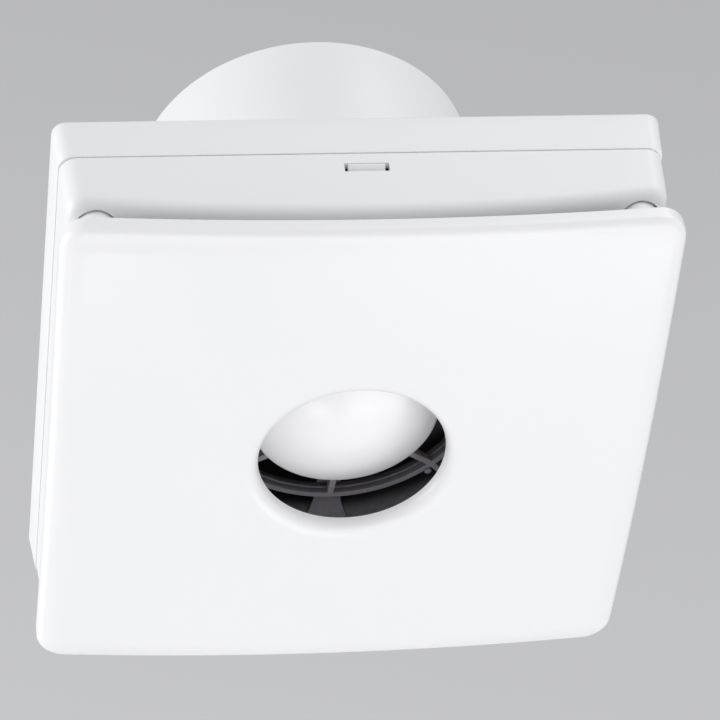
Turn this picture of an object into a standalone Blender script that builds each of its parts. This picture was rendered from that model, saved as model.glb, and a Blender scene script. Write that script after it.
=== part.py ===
"""Bathroom extractor fan for a 100 mm duct: the solid model of every separate piece, in metres.

The frame has its origin at the centre of the housing's flat back face, on the duct's axis.
+Y points into the wall along the duct, -Y towards the room, +X to the right and +Z up.
Axial positions below are Y values, so a more negative one is nearer the room.
"""

import math

import bmesh
import bpy
from mathutils import Matrix, Vector

MM = 0.001

# Driving dimensions.
PANEL_SIDE = 168 * MM
DUCT_RADIUS = 49 * MM
SPIGOT_END = 71.5 * MM
CLEARANCE = 0.3 * MM

# Front panel: a shallow pillow with a rolled rim, a round hole and four stand-off posts.
PANEL_HALF = PANEL_SIDE / 2
PANEL_CORNER = 8 * MM
PANEL_APEX = -50.7 * MM
PANEL_RISE = 3.4 * MM
PANEL_SKIN = 2.6 * MM
PANEL_ROLL = 3.3 * MM
PANEL_RIM_DEPTH = 6 * MM
HOLE_RADIUS = 26.2 * MM
HOLE_LIP_RADIUS = 30.6 * MM
HOLE_BACK = -45.9 * MM
POST_OFFSET = 73 * MM
POST_RADIUS = 5.6 * MM
POST_END = -24 * MM

# Front cover: the white shell between the panel and the housing.
COVER_BACK_HALF = 82 * MM
COVER_FRONT_HALF = 81.3 * MM
COVER_CORNER = 5 * MM
COVER_SKIN = 2 * MM
COVER_ROLL = 5.4 * MM
COVER_CREST = -37 * MM
COVER_CORNER_DROP = 6.1 * MM
PARTING = -13.2 * MM
INTAKE_RADIUS = 54 * MM
INTAKE_LIP = -25.5 * MM
SOCKET_RADIUS = 6 * MM
SOCKET_WALL = 1 * MM
SOCKET_FLOOR = -21 * MM
SOCKET_TOP = -29 * MM

# Latch windows in the cover, and the tongues whose wedges fill them.
WINDOW_HALF_WIDTH = 6.1 * MM
WINDOW_BACK = -17.2 * MM
WINDOW_FRONT = -20.1 * MM
TONGUE_OUTER = 79.1 * MM
TONGUE_THICKNESS = 1.6 * MM
TONGUE_ROOT = -3.2 * MM
TONGUE_TIP = -21.5 * MM
TONGUE_HALF_WIDTH = 5.05 * MM
TONGUE_FOOT = 4 * MM
WEDGE_TOP = 81.5 * MM

# Rear housing: a tray with the duct spigot on its back.
HOUSING_HALF = 83.2 * MM
HOUSING_FRONT_HALF = 82.3 * MM
HOUSING_CORNER = 4 * MM
HOUSING_WALL = 2.4 * MM
HOUSING_FLOOR = -2.4 * MM
LIP_OUTER_HALF = 79.5 * MM
LIP_INNER_HALF = 77.9 * MM
LIP_CORNER = 3.2 * MM
LIP_FRONT = -16 * MM
SPIGOT_WALL = 2 * MM
COLLAR_FRONT = -8 * MM
COLLAR_RADIUS = 49.2 * MM
WALL_HOLE_OFFSET = 70 * MM
WALL_HOLE_RADIUS = 2.4 * MM
FRAME_SCREW_OFFSET = 41 * MM
BOSS_RADIUS = 4 * MM
BOSS_FRONT = -9.7 * MM
CABLE_ENTRY = Vector((66 * MM, 0, -27 * MM))
CABLE_ENTRY_RADIUS = 6 * MM

# Fan frame: the dark sleeve and spider that carry the motor.
SLEEVE_OUTER = 46.6 * MM
SLEEVE_INNER = 45 * MM
SLEEVE_END = 38 * MM
FLARE_FRONT = -22.9 * MM
ARM_FRONT = -20.2 * MM
ARM_BACK = -16.5 * MM
PLATE_RADIUS = 20 * MM
PLATE_FRONT = -20.4 * MM
PLATE_BACK = -17.6 * MM
LUG_FRONT = -13.2 * MM
LUG_BACK = -10 * MM
LUG_WIDTH = 9 * MM
LUG_END = 62 * MM
SCREW_HOLE_RADIUS = 1.8 * MM
SCREW_RADIUS = 1.5 * MM
SCREW_HEAD = 1.9 * MM
LEAD_HOLE_RADIUS = 2.6 * MM
LEAD_HOLE_TURN = math.radians(38)
LEAD_HOLE_AT = -15 * MM
PILLAR_RADIUS = 3.6 * MM

# The flare's outer and inner faces, as (radius, y) in millimetres from the sleeve outward.
FLARE_OUTER_FACE = [(46.6, -9), (47.6, -13), (50, -17.5), (53.5, -21.6), (53.5, -22.9)]
FLARE_INNER_FACE = [(52.2, -22.9), (48.6, -18.4), (46, -13.4), (45, -8)]

# An arm's half width along its length, as (radius, half width) in millimetres: wide roots at
# the plate and at the flare.
ARM_EDGE = [(18, 4.6), (22, 3.4), (41.5, 3.4), (45, 4), (48, 5.4), (50.4, 7.2)]

# Inlet guard and dome cap. The ribs slope back from the hub to the ring.
GUARD_FRONT = -28.4 * MM
GUARD_HUB_RADIUS = 23.5 * MM
GUARD_HUB_BACK = -24.6 * MM
GUARD_RING_RADIUS = 40.8 * MM
GUARD_RING_FRONT = -24.2 * MM
GUARD_RING_BACK = ARM_FRONT - CLEARANCE
GUARD_RING_WALL = 1.8 * MM
GUARD_LEDGE = -22.3 * MM
GUARD_LEDGE_DEPTH = 0.6 * MM
RIB_WIDTH = 2 * MM
RIB_COUNT = 8
OUTER_RIB_END = 52.6 * MM
NUB_RADIUS = 1.1 * MM
NUB_CENTRE = GUARD_RING_RADIUS + 0.4 * MM
NUB_TURN = math.radians(3.2)
DOME_RADIUS = 26.7 * MM
DOME_RIM = -30 * MM
DOME_CROWN = 60 * MM
DOME_EDGE = 2 * MM
DOME_SKIN = 1.8 * MM
DOME_SKIRT_RADIUS = 21.5 * MM

# Motor: a shaded-pole frame with its coil to the right of the rotor.
MOTOR_SCREW_OFFSET = 17 * MM
STACK_FRONT = -8 * MM
STACK_BACK = 7 * MM
STACK_HALF_HEIGHT = 21 * MM
STACK_LEFT = -20 * MM
STACK_WINDOW_LEFT = 18 * MM
LIMB_LEFT = 27 * MM
LIMB_RIGHT = 34 * MM
WINDOW_HALF_HEIGHT = 13 * MM
ROTOR_RADIUS = 10.4 * MM
ROTOR_GAP = 0.4 * MM
SHAFT_RADIUS = 2 * MM
SHAFT_FRONT = -18.5 * MM
SHAFT_BACK = 40 * MM
BRACKET_THICKNESS = 1.6 * MM
BRACKET_HALF_WIDTH = 6 * MM
BRACKET_BRIDGE_HALF = 9 * MM
BRACKET_STAND = 6.6 * MM
BEARING_RADIUS = 4.6 * MM
BEARING_LENGTH = 5 * MM

# Impeller.
HUB_RADIUS = 16 * MM
HUB_FRONT = 17.5 * MM
HUB_BACK = 35.5 * MM
HUB_SKIN = 1.8 * MM
BLADE_TIP = 43.5 * MM
BLADE_COUNT = 7
BLADE_THICKNESS = 1.5 * MM
BLADE_FRONT = 19.5 * MM
BLADE_BACK = 34 * MM
BLADE_HALF_TURN = 0.36
BLADE_NARROWING = 0.22
BLADE_SWEEP = 0.1
BLADE_BOW = 1.6 * MM

# Mains terminal, cable clamp and leads.
TERMINAL_CENTRE = Vector((58 * MM, 0, -60 * MM))
TERMINAL_SIZE = Vector((21 * MM, 11 * MM, 11 * MM))
POLE_PITCH = 7 * MM
TERMINAL_SCREW_RADIUS = 1.9 * MM
CLAMP_CENTRE = Vector((67.5 * MM, 0, -43 * MM))
CLAMP_LENGTH = 18 * MM
CLAMP_WIDTH = 5.5 * MM
CLAMP_BACK = -7 * MM
CLAMP_THICKNESS = 2.6 * MM
CLAMP_SCREW_OFFSET = 6 * MM
SADDLE_RADIUS = 4.5 * MM
SADDLE_RISE = 3.2 * MM
LEAD_RADIUS = 0.8 * MM

# How finely round shapes are divided.
SIDE_STEPS = 3
SIDE_ANGLE = math.radians(12)
CORNER_STEPS = 3
ROUND_STEPS = 48
SMALL_ROUND_STEPS = 16
SMOOTH_ANGLE = math.radians(35)
WELD_DISTANCE = 0.003 * MM

COLOURS = {
    "gloss_white": ((0.86, 0.87, 0.88), 0.22, 0.0),
    "white_abs": ((0.82, 0.83, 0.84), 0.35, 0.0),
    "dome_white": ((0.87, 0.87, 0.88), 0.18, 0.0),
    "dark_grey_abs": ((0.05, 0.046, 0.058), 0.42, 0.0),
    "impeller_abs": ((0.06, 0.06, 0.07), 0.4, 0.0),
    "lamination_steel": ((0.34, 0.35, 0.37), 0.45, 1.0),
    "plated_steel": ((0.66, 0.66, 0.64), 0.28, 1.0),
    "sintered_bronze": ((0.46, 0.3, 0.14), 0.4, 1.0),
    "winding_copper": ((0.6, 0.25, 0.1), 0.35, 1.0),
    "bobbin_nylon": ((0.78, 0.76, 0.68), 0.5, 0.0),
    "terminal_nylon": ((0.75, 0.74, 0.66), 0.45, 0.0),
    "brass": ((0.7, 0.52, 0.22), 0.3, 1.0),
    "grommet_rubber": ((0.03, 0.03, 0.03), 0.75, 0.0),
    "red_pvc": ((0.55, 0.03, 0.025), 0.4, 0.0),
    "blue_pvc": ((0.03, 0.09, 0.42), 0.4, 0.0),
}


def clear_scene():
    """Removes every object that the file starts with."""
    for obj in list(bpy.data.objects):
        bpy.data.objects.remove(obj, do_unlink=True)


def material(slot):
    """The Principled material of one finish, made the first time that it is asked for."""
    found = bpy.data.materials.get(slot)
    if found:
        return found
    colour, roughness, metallic = COLOURS[slot]
    made = bpy.data.materials.new(slot)
    made.use_nodes = True
    shader = made.node_tree.nodes["Principled BSDF"]
    shader.inputs["Base Color"].default_value = (*colour, 1.0)
    shader.inputs["Roughness"].default_value = roughness
    shader.inputs["Metallic"].default_value = metallic
    made.diffuse_color = (*colour, 1.0)
    return made


def finish_mesh(name, shape, slot, smooth=True):
    """Turns a bmesh into an object whose faces point out."""
    bmesh.ops.recalc_face_normals(shape, faces=shape.faces)
    mesh = bpy.data.meshes.new(name)
    shape.to_mesh(mesh)
    shape.free()
    obj = bpy.data.objects.new(name, mesh)
    bpy.context.scene.collection.objects.link(obj)
    if smooth:
        mesh.shade_smooth()
        mesh.set_sharp_from_angle(angle=SMOOTH_ANGLE)
    if slot:
        mesh.materials.append(material(slot))
    return obj


def weld(mesh):
    """Closes the hairline seams that a Boolean can leave where faces share a plane."""
    shape = bmesh.new()
    shape.from_mesh(mesh)
    bmesh.ops.remove_doubles(shape, verts=shape.verts, dist=WELD_DISTANCE)
    bmesh.ops.dissolve_degenerate(shape, edges=shape.edges, dist=WELD_DISTANCE)
    shape.to_mesh(mesh)
    shape.free()


def combine(target, tools, operation):
    """Joins the tools to the target, or cuts them from it, and removes them."""
    for tool in tools:
        modifier = target.modifiers.new("combine", "BOOLEAN")
        modifier.operation = operation
        modifier.solver = "EXACT"
        modifier.object = tool
        bpy.context.view_layer.update()
        graph = bpy.context.evaluated_depsgraph_get()
        result = bpy.data.meshes.new_from_object(target.evaluated_get(graph))
        weld(result)
        target.modifiers.clear()
        spent = target.data
        target.data = result
        bpy.data.meshes.remove(spent)
        bpy.data.objects.remove(tool, do_unlink=True)
    target.data.shade_smooth()
    target.data.set_sharp_from_angle(angle=SMOOTH_ANGLE)
    return target


def join(target, tools):
    return combine(target, tools, "UNION")


def cut(target, tools):
    return combine(target, tools, "DIFFERENCE")


def rounded_square(half, corner):
    """Points (x, z) round a rounded square. Any two such rings have matching points.

    The points on a side lie at even angles about the centre, so that rings and circles match well.
    """
    corner = max(corner, 0.4 * MM)
    flat = half - corner
    side = [-flat]
    side += [half * math.tan(SIDE_ANGLE * step) for step in range(-SIDE_STEPS, SIDE_STEPS + 1)]
    side.append(flat)
    arc = [math.pi / 2 * step / CORNER_STEPS for step in range(1, CORNER_STEPS)]
    first = [(half, z) for z in side]
    first += [(flat + corner * math.cos(angle), flat + corner * math.sin(angle)) for angle in arc]
    points = []
    for quarter in range(4):
        turn = quarter * math.pi / 2
        for x, z in first:
            points.append(
                (x * math.cos(turn) - z * math.sin(turn), x * math.sin(turn) + z * math.cos(turn))
            )
    return points


def circle_facing(radius, ring):
    """Points on a circle, each in the direction of the matching point of a ring."""
    return [(radius * x / math.hypot(x, z), radius * z / math.hypot(x, z)) for x, z in ring]


def between(inner, outer, share):
    return [
        (a[0] + (b[0] - a[0]) * share, a[1] + (b[1] - a[1]) * share)
        for a, b in zip(inner, outer)
    ]


def closed_loops(name, loops, slot):
    """A ring-shaped solid: loops of points, each joined to the next and the last to the first."""
    shape = bmesh.new()
    rows = [[shape.verts.new(point) for point in loop] for loop in loops]
    count = len(rows[0])
    for number, row in enumerate(rows):
        following = rows[(number + 1) % len(rows)]
        for step in range(count):
            after = (step + 1) % count
            shape.faces.new((row[step], row[after], following[after], following[step]))
    return finish_mesh(name, shape, slot)


def turned(name, profile, slot, centre=(0, 0), steps=ROUND_STEPS):
    """A solid turned about an axis along Y through centre (x, z), from (radius, y) points.

    A profile that starts and ends on the axis is a solid body. Any other is a closed ring.
    """
    shape = bmesh.new()
    rows = []
    for radius, y in profile:
        if radius < 1e-7:
            rows.append([shape.verts.new((centre[0], y, centre[1]))])
            continue
        row = []
        for step in range(steps):
            angle = 2 * math.pi * step / steps
            x = centre[0] + radius * math.cos(angle)
            z = centre[1] + radius * math.sin(angle)
            row.append(shape.verts.new((x, y, z)))
        rows.append(row)
    solid = len(rows[0]) == 1
    pairs = list(zip(rows, rows[1:]))
    if not solid:
        pairs.append((rows[-1], rows[0]))
    for first, second in pairs:
        for step in range(steps):
            after = (step + 1) % steps
            if len(first) == 1:
                shape.faces.new((first[0], second[after], second[step]))
            elif len(second) == 1:
                shape.faces.new((first[step], first[after], second[0]))
            else:
                shape.faces.new((first[step], first[after], second[after], second[step]))
    return finish_mesh(name, shape, slot)


def rod(name, radius, front, back, slot, centre=(0, 0), steps=SMALL_ROUND_STEPS):
    """A plain cylinder along Y."""
    profile = [(0, front), (radius, front), (radius, back), (0, back)]
    return turned(name, profile, slot, centre, steps)


def block(name, low, high, slot, turn=0.0):
    """A box between two corners, turned about the Y axis through the origin."""
    shape = bmesh.new()
    bmesh.ops.create_cube(shape, size=1.0)
    low = Vector(low)
    high = Vector(high)
    for vertex in shape.verts:
        vertex.co = Vector(
            ((high[axis] + low[axis]) / 2 + vertex.co[axis] * (high[axis] - low[axis]) for axis in range(3))
        )
    shape.transform(Matrix.Rotation(-turn, 4, "Y"))
    return finish_mesh(name, shape, slot, smooth=False)


def prism(name, outline, low, high, slot, plane="XZ"):
    """An outline pushed along the axis that its plane leaves out, from low to high."""
    shape = bmesh.new()
    place = {
        "XY": lambda a, b, depth: (a, b, depth),
        "XZ": lambda a, b, depth: (a, depth, b),
        "YZ": lambda a, b, depth: (depth, a, b),
    }[plane]
    near = [shape.verts.new(place(a, b, low)) for a, b in outline]
    far = [shape.verts.new(place(a, b, high)) for a, b in outline]
    shape.faces.new(near)
    shape.faces.new(list(reversed(far)))
    for step in range(len(outline)):
        after = (step + 1) % len(outline)
        shape.faces.new((near[step], near[after], far[after], far[step]))
    return finish_mesh(name, shape, slot, smooth=False)


def lifted(ring, y):
    return [(x, y, z) for x, z in ring]


def panel_face(x, z):
    """How far along Y the panel's domed face is at (x, z)."""
    return PANEL_APEX + PANEL_RISE * ((x / PANEL_HALF) ** 2 + (z / PANEL_HALF) ** 2)


def on_face(ring, depth, shape_ring=None):
    """A ring laid on the domed face, or behind it. shape_ring gives the places that set its height."""
    guide = shape_ring or ring
    return [(x, panel_face(*at) + depth, z) for (x, z), at in zip(ring, guide)]


def make_front_panel():
    rim = rounded_square(PANEL_HALF, PANEL_CORNER)
    shoulder = rounded_square(PANEL_HALF - PANEL_ROLL, PANEL_CORNER - PANEL_ROLL)
    lip = circle_facing(HOLE_LIP_RADIUS, rim)
    loops = [lifted(circle_facing(HOLE_RADIUS, rim), HOLE_BACK)]
    lip_face = panel_face(HOLE_LIP_RADIUS, 0)
    lip_depth = HOLE_BACK - lip_face
    for step in range(4):
        angle = math.pi / 2 * step / 4
        radius = HOLE_LIP_RADIUS - (HOLE_LIP_RADIUS - HOLE_RADIUS) * math.cos(angle)
        y = lip_face + lip_depth * 0.75 * (1 - math.sin(angle))
        loops.append(lifted(circle_facing(radius, rim), y))
    for step in range(5):
        loops.append(on_face(between(lip, shoulder, step / 4), 0))
    for step in range(1, 4):
        angle = math.pi / 2 * step / 3
        inset = PANEL_ROLL * (1 - math.sin(angle))
        ring = rounded_square(PANEL_HALF - inset, PANEL_CORNER - inset)
        loops.append(on_face(ring, PANEL_ROLL * (1 - math.cos(angle)), rim))
    inner = rounded_square(PANEL_HALF - PANEL_SKIN, PANEL_CORNER - PANEL_SKIN)
    loops.append(on_face(rim, PANEL_RIM_DEPTH, rim))
    loops.append(on_face(inner, PANEL_RIM_DEPTH, rim))
    loops.append(on_face(inner, PANEL_SKIN * 1.5, rim))
    inside = rounded_square(PANEL_HALF - 2 * PANEL_SKIN, PANEL_CORNER - 2 * PANEL_SKIN)
    collar = circle_facing(HOLE_LIP_RADIUS - 1 * MM, rim)
    for step in range(4):
        loops.append(on_face(between(inside, collar, step / 3), PANEL_SKIN))
    loops.append(lifted(circle_facing(HOLE_RADIUS + 1.8 * MM, rim), HOLE_BACK))
    panel = closed_loops("front_panel", loops, "gloss_white")
    posts = []
    for x, z in corners(POST_OFFSET):
        front = panel_face(x, z) + PANEL_SKIN / 2
        profile = [
            (0, front),
            (POST_RADIUS, front),
            (POST_RADIUS, POST_END - 1 * MM),
            (POST_RADIUS - 1 * MM, POST_END),
            (0, POST_END),
        ]
        posts.append(turned("post", profile, None, (x, z), 18))
    return join(panel, posts)


def corners(offset):
    """The four places (x, z) at the corners of a square, anticlockwise from the lower right."""
    return [(offset, -offset), (offset, offset), (-offset, offset), (-offset, -offset)]


def cover_dip(x, z):
    """How far the cover's rim falls back at (x, z): nothing mid-side, the most in a corner."""
    reach = (x / COVER_BACK_HALF) ** 2 + (z / COVER_BACK_HALF) ** 2
    return COVER_CORNER_DROP * (reach - 1)


def make_front_cover():
    guide = rounded_square(COVER_FRONT_HALF, COVER_CORNER)
    dips = [cover_dip(x, z) for x, z in guide]
    roll_start = COVER_CREST + COVER_ROLL

    def bent(ring, y, share=1.0):
        return [(x, y + dip * share, z) for (x, z), dip in zip(ring, dips)]

    loops = [lifted(rounded_square(COVER_BACK_HALF, COVER_CORNER), PARTING - 0.4 * MM)]
    for step in range(5):
        angle = math.pi / 2 * step / 4
        inset = COVER_ROLL * (1 - math.cos(angle))
        ring = rounded_square(COVER_FRONT_HALF - inset, COVER_CORNER - inset)
        loops.append(bent(ring, roll_start - COVER_ROLL * math.sin(angle)))
    crest_ring = rounded_square(COVER_FRONT_HALF - COVER_ROLL, 0)
    intake = circle_facing(INTAKE_RADIUS, guide)
    for share in (0.3, 0.65, 1.0):
        fall = share * share * (3 - 2 * share)
        y = COVER_CREST + (INTAKE_LIP - COVER_CREST) * fall
        loops.append(bent(between(crest_ring, intake, share), y, 1 - fall))
    lip_back = INTAKE_LIP + COVER_SKIN
    loops.append(lifted(circle_facing(INTAKE_RADIUS - 0.4 * MM, guide), lip_back - 0.4 * MM))
    inner_crest = rounded_square(COVER_FRONT_HALF - COVER_ROLL, 0)
    inner_lip = circle_facing(INTAKE_RADIUS + 1 * MM, guide)
    for share in (1.0, 0.65, 0.3, 0.0):
        fall = share * share * (3 - 2 * share)
        y = COVER_CREST + COVER_SKIN + (lip_back - COVER_CREST - COVER_SKIN) * fall
        loops.append(bent(between(inner_crest, inner_lip, share), y, 1 - fall))
    inner_half = COVER_FRONT_HALF - COVER_SKIN
    loops.append(bent(rounded_square(inner_half, COVER_CORNER - COVER_SKIN), roll_start))
    back_half = COVER_BACK_HALF - COVER_SKIN
    loops.append(lifted(rounded_square(back_half, COVER_CORNER - COVER_SKIN), PARTING - 0.4 * MM))
    cover = closed_loops("front_cover", loops, "white_abs")
    cups = []
    bores = []
    for place in corners(POST_OFFSET):
        cups.append(rod("cup", SOCKET_RADIUS + SOCKET_WALL, SOCKET_TOP, SOCKET_FLOOR, None, place, 18))
        bores.append(rod("bore", SOCKET_RADIUS, COVER_CREST, SOCKET_FLOOR - SOCKET_WALL, None, place, 18))
    join(cover, cups)
    windows = []
    for side in (-1, 1):
        inner_edge = side * (back_half - 4 * MM)
        outer_edge = side * (COVER_BACK_HALF + 4 * MM)
        low = (-WINDOW_HALF_WIDTH, WINDOW_FRONT, min(inner_edge, outer_edge))
        high = (WINDOW_HALF_WIDTH, WINDOW_BACK, max(inner_edge, outer_edge))
        windows.append(block("window", low, high, None))
    return cut(cover, bores + windows)


def make_latch(name, side):
    """A springy tongue whose wedge stands in the cover's window: side is 1 at the top, -1 below."""
    inner = TONGUE_OUTER - TONGUE_THICKNESS
    outline = [
        (TONGUE_ROOT, inner - TONGUE_FOOT + TONGUE_THICKNESS),
        (TONGUE_ROOT, TONGUE_OUTER),
        (WINDOW_BACK - CLEARANCE, TONGUE_OUTER),
        (WINDOW_BACK - CLEARANCE, WEDGE_TOP),
        (WINDOW_FRONT + CLEARANCE, TONGUE_OUTER + 0.9 * MM),
        (WINDOW_FRONT + CLEARANCE, TONGUE_OUTER),
        (TONGUE_TIP, TONGUE_OUTER - 0.4 * MM),
        (TONGUE_TIP, inner),
        (TONGUE_ROOT - 3.5 * MM, inner),
        (TONGUE_ROOT - 2.4 * MM, inner - TONGUE_FOOT + TONGUE_THICKNESS),
    ]
    outline = [(y, side * z) for y, z in outline]
    return prism(name, outline, -TONGUE_HALF_WIDTH, TONGUE_HALF_WIDTH, "white_abs", "YZ")


def make_rear_housing():
    guide = rounded_square(HOUSING_HALF, HOUSING_CORNER)
    inner_corner = HOUSING_CORNER - HOUSING_WALL

    def circle(radius, y):
        return lifted(circle_facing(radius, guide), y)

    def square(half, corner, y):
        return lifted(rounded_square(half, corner), y)

    bore = DUCT_RADIUS - SPIGOT_WALL
    fillet = 1.5 * MM
    loops = [
        circle(DUCT_RADIUS - 0.6 * MM, SPIGOT_END),
        circle(DUCT_RADIUS, SPIGOT_END - 0.6 * MM),
        circle(DUCT_RADIUS, fillet),
        circle(DUCT_RADIUS + fillet, 0),
        square(HOUSING_HALF - 1 * MM, HOUSING_CORNER - 1 * MM, 0),
        square(HOUSING_HALF, HOUSING_CORNER, -1 * MM),
        square(HOUSING_FRONT_HALF, HOUSING_CORNER, PARTING),
        square(LIP_OUTER_HALF, LIP_CORNER, PARTING),
        square(LIP_OUTER_HALF, LIP_CORNER, LIP_FRONT),
        square(LIP_INNER_HALF, inner_corner, LIP_FRONT),
        square(LIP_INNER_HALF, inner_corner, PARTING + 3 * MM),
        square(HOUSING_FRONT_HALF - HOUSING_WALL, inner_corner, PARTING + 5 * MM),
        square(HOUSING_HALF - HOUSING_WALL, inner_corner, HOUSING_FLOOR),
        circle(COLLAR_RADIUS, HOUSING_FLOOR),
        circle(COLLAR_RADIUS, COLLAR_FRONT),
        circle(bore, COLLAR_FRONT),
        circle(bore, SPIGOT_END),
    ]
    housing = closed_loops("rear_housing", loops, "white_abs")
    additions = []
    holes = []
    for place in corners(FRAME_SCREW_OFFSET):
        additions.append(rod("boss", BOSS_RADIUS, BOSS_FRONT, HOUSING_FLOOR / 2, None, place))
        holes.append(rod("pilot", SCREW_HOLE_RADIUS, BOSS_FRONT - 1 * MM, -3.4 * MM, None, place, 12))
    for x in (-CLAMP_SCREW_OFFSET, CLAMP_SCREW_OFFSET):
        place = (CLAMP_CENTRE.x + x, CLAMP_CENTRE.z)
        post_front = CLAMP_BACK + CLEARANCE
        additions.append(rod("post", 2.8 * MM, post_front, HOUSING_FLOOR / 2, None, place, 12))
        holes.append(rod("pilot", 1.5 * MM, post_front - 1 * MM, -3 * MM, None, place, 10))
    for place in corners(WALL_HOLE_OFFSET):
        holes.append(rod("wall_hole", WALL_HOLE_RADIUS, -5 * MM, 3 * MM, None, place))
    entry = (CABLE_ENTRY.x, CABLE_ENTRY.z)
    holes.append(rod("entry", CABLE_ENTRY_RADIUS, -5 * MM, 3 * MM, None, entry))
    notch_half = WINDOW_HALF_WIDTH + 0.5 * MM
    for side in (-1, 1):
        inner_edge = side * (LIP_INNER_HALF - 2 * MM)
        outer_edge = side * (LIP_OUTER_HALF + 0.1 * MM)
        low = (-notch_half, LIP_FRONT - 1 * MM, min(inner_edge, outer_edge))
        high = (notch_half, PARTING + 5.2 * MM, max(inner_edge, outer_edge))
        holes.append(block("notch", low, high, None))
    join(housing, additions)
    return cut(housing, holes)


def make_fan_frame():
    profile = [(SLEEVE_OUTER, SLEEVE_END)]
    profile += [(radius * MM, y * MM) for radius, y in FLARE_OUTER_FACE + FLARE_INNER_FACE]
    profile.append((SLEEVE_INNER, SLEEVE_END))
    frame = turned("fan_frame", profile, "dark_grey_abs")
    centre = BEARING_RADIUS + 1 * MM
    plate = [
        (centre, PLATE_FRONT),
        (PLATE_RADIUS, PLATE_FRONT),
        (PLATE_RADIUS, PLATE_BACK),
        (centre, PLATE_BACK),
    ]
    additions = [turned("plate", plate, None, steps=32)]
    edge = [(radius * MM, half * MM) for radius, half in ARM_EDGE]
    arm_outline = edge + [(radius, -half) for radius, half in reversed(edge)]
    holes = []
    for quarter in range(4):
        turn = quarter * math.pi / 2
        arm = prism("arm", arm_outline, ARM_FRONT, ARM_BACK, None)
        arm.data.transform(Matrix.Rotation(-turn, 4, "Y"))
        additions.append(arm)
        turn += math.pi / 4
        low = (SLEEVE_OUTER, LUG_FRONT, -LUG_WIDTH / 2)
        additions.append(block("lug", low, (LUG_END, LUG_BACK, LUG_WIDTH / 2), None, turn))
    for place in corners(FRAME_SCREW_OFFSET):
        holes.append(rod("lug_hole", SCREW_HOLE_RADIUS, -20 * MM, -5 * MM, None, place, 12))
    for side in (-1, 1):
        place = (0, side * MOTOR_SCREW_OFFSET)
        pillar_back = STACK_FRONT - BRACKET_THICKNESS - 2 * CLEARANCE
        additions.append(rod("pillar", PILLAR_RADIUS, PLATE_BACK - 1 * MM, pillar_back, None, place))
        holes.append(rod("pillar_hole", SCREW_HOLE_RADIUS, -30 * MM, 0, None, place, 12))
    join(frame, additions)
    lead_hole = rod("lead_hole", LEAD_HOLE_RADIUS, SLEEVE_INNER - 5 * MM, LUG_END, None, steps=12)
    lead_hole.data.transform(Matrix.Rotation(math.radians(-90), 4, "Z"))
    lead_hole.data.transform(Matrix.Rotation(LEAD_HOLE_TURN, 4, "Y"))
    lead_hole.data.transform(Matrix.Translation((0, LEAD_HOLE_AT, 0)))
    return cut(frame, holes + [lead_hole])


def rib(outline, turn):
    """A straight rib of the guard, from (radius, y) points, turned about the Y axis."""
    made = prism("rib", outline, -RIB_WIDTH / 2, RIB_WIDTH / 2, None, "XY")
    made.data.transform(Matrix.Rotation(-turn, 4, "Y"))
    return made


def make_inlet_guard():
    inner = GUARD_RING_RADIUS - GUARD_RING_WALL
    chamfer = 0.4 * MM
    ring_profile = [
        (GUARD_RING_RADIUS, GUARD_RING_FRONT + chamfer),
        (GUARD_RING_RADIUS - chamfer, GUARD_RING_FRONT),
        (inner + chamfer, GUARD_RING_FRONT),
        (inner, GUARD_RING_FRONT + chamfer),
        (inner, GUARD_LEDGE),
        (inner - GUARD_LEDGE_DEPTH, GUARD_LEDGE),
        (inner - GUARD_LEDGE_DEPTH, GUARD_RING_BACK),
        (GUARD_RING_RADIUS, GUARD_RING_BACK),
    ]
    guard = turned("inlet_guard", ring_profile, "dark_grey_abs")
    additions = [rod("hub", GUARD_HUB_RADIUS, GUARD_FRONT, GUARD_HUB_BACK, None, steps=32)]
    middle = inner + GUARD_RING_WALL / 2
    inner_rib = [
        (GUARD_HUB_RADIUS - 1 * MM, GUARD_FRONT + 0.1 * MM),
        (GUARD_HUB_RADIUS + 1.5 * MM, GUARD_FRONT + 0.1 * MM),
        (middle, GUARD_RING_FRONT + 0.3 * MM),
        (middle, GUARD_RING_FRONT + 2 * MM),
        (GUARD_HUB_RADIUS - 1 * MM, GUARD_HUB_BACK - 0.1 * MM),
    ]
    foot = FLARE_FRONT - CLEARANCE
    outer_rib = [
        (middle, GUARD_RING_FRONT + 0.2 * MM),
        (OUTER_RIB_END, foot - 1.8 * MM),
        (OUTER_RIB_END, foot),
        (OUTER_RIB_END - 2.6 * MM, foot),
        (OUTER_RIB_END - 4.6 * MM, foot + 1.8 * MM),
        (middle, foot + 1.8 * MM),
    ]
    for number in range(RIB_COUNT):
        turn = 2 * math.pi * number / RIB_COUNT
        additions.append(rib(inner_rib, turn))
        if number % 2 == 0:
            continue
        additions.append(rib(outer_rib, turn))
        nub_turn = turn - NUB_TURN
        place = (NUB_CENTRE * math.cos(nub_turn), NUB_CENTRE * math.sin(nub_turn))
        nub_front = GUARD_RING_FRONT - 0.5 * MM
        additions.append(rod("nub", NUB_RADIUS, nub_front, nub_front + 2 * MM, None, place, 12))
    return join(guard, additions)


def crown_point(radius, thickness):
    """A point (radius, y) on the dome's crown, or inside it by a thickness."""
    arc = DOME_CROWN - DOME_EDGE
    centre = DOME_RIM + math.sqrt(arc ** 2 - (DOME_RADIUS - DOME_EDGE) ** 2)
    sphere = DOME_CROWN - thickness
    return (radius, centre - math.sqrt(sphere ** 2 - radius ** 2))


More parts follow.
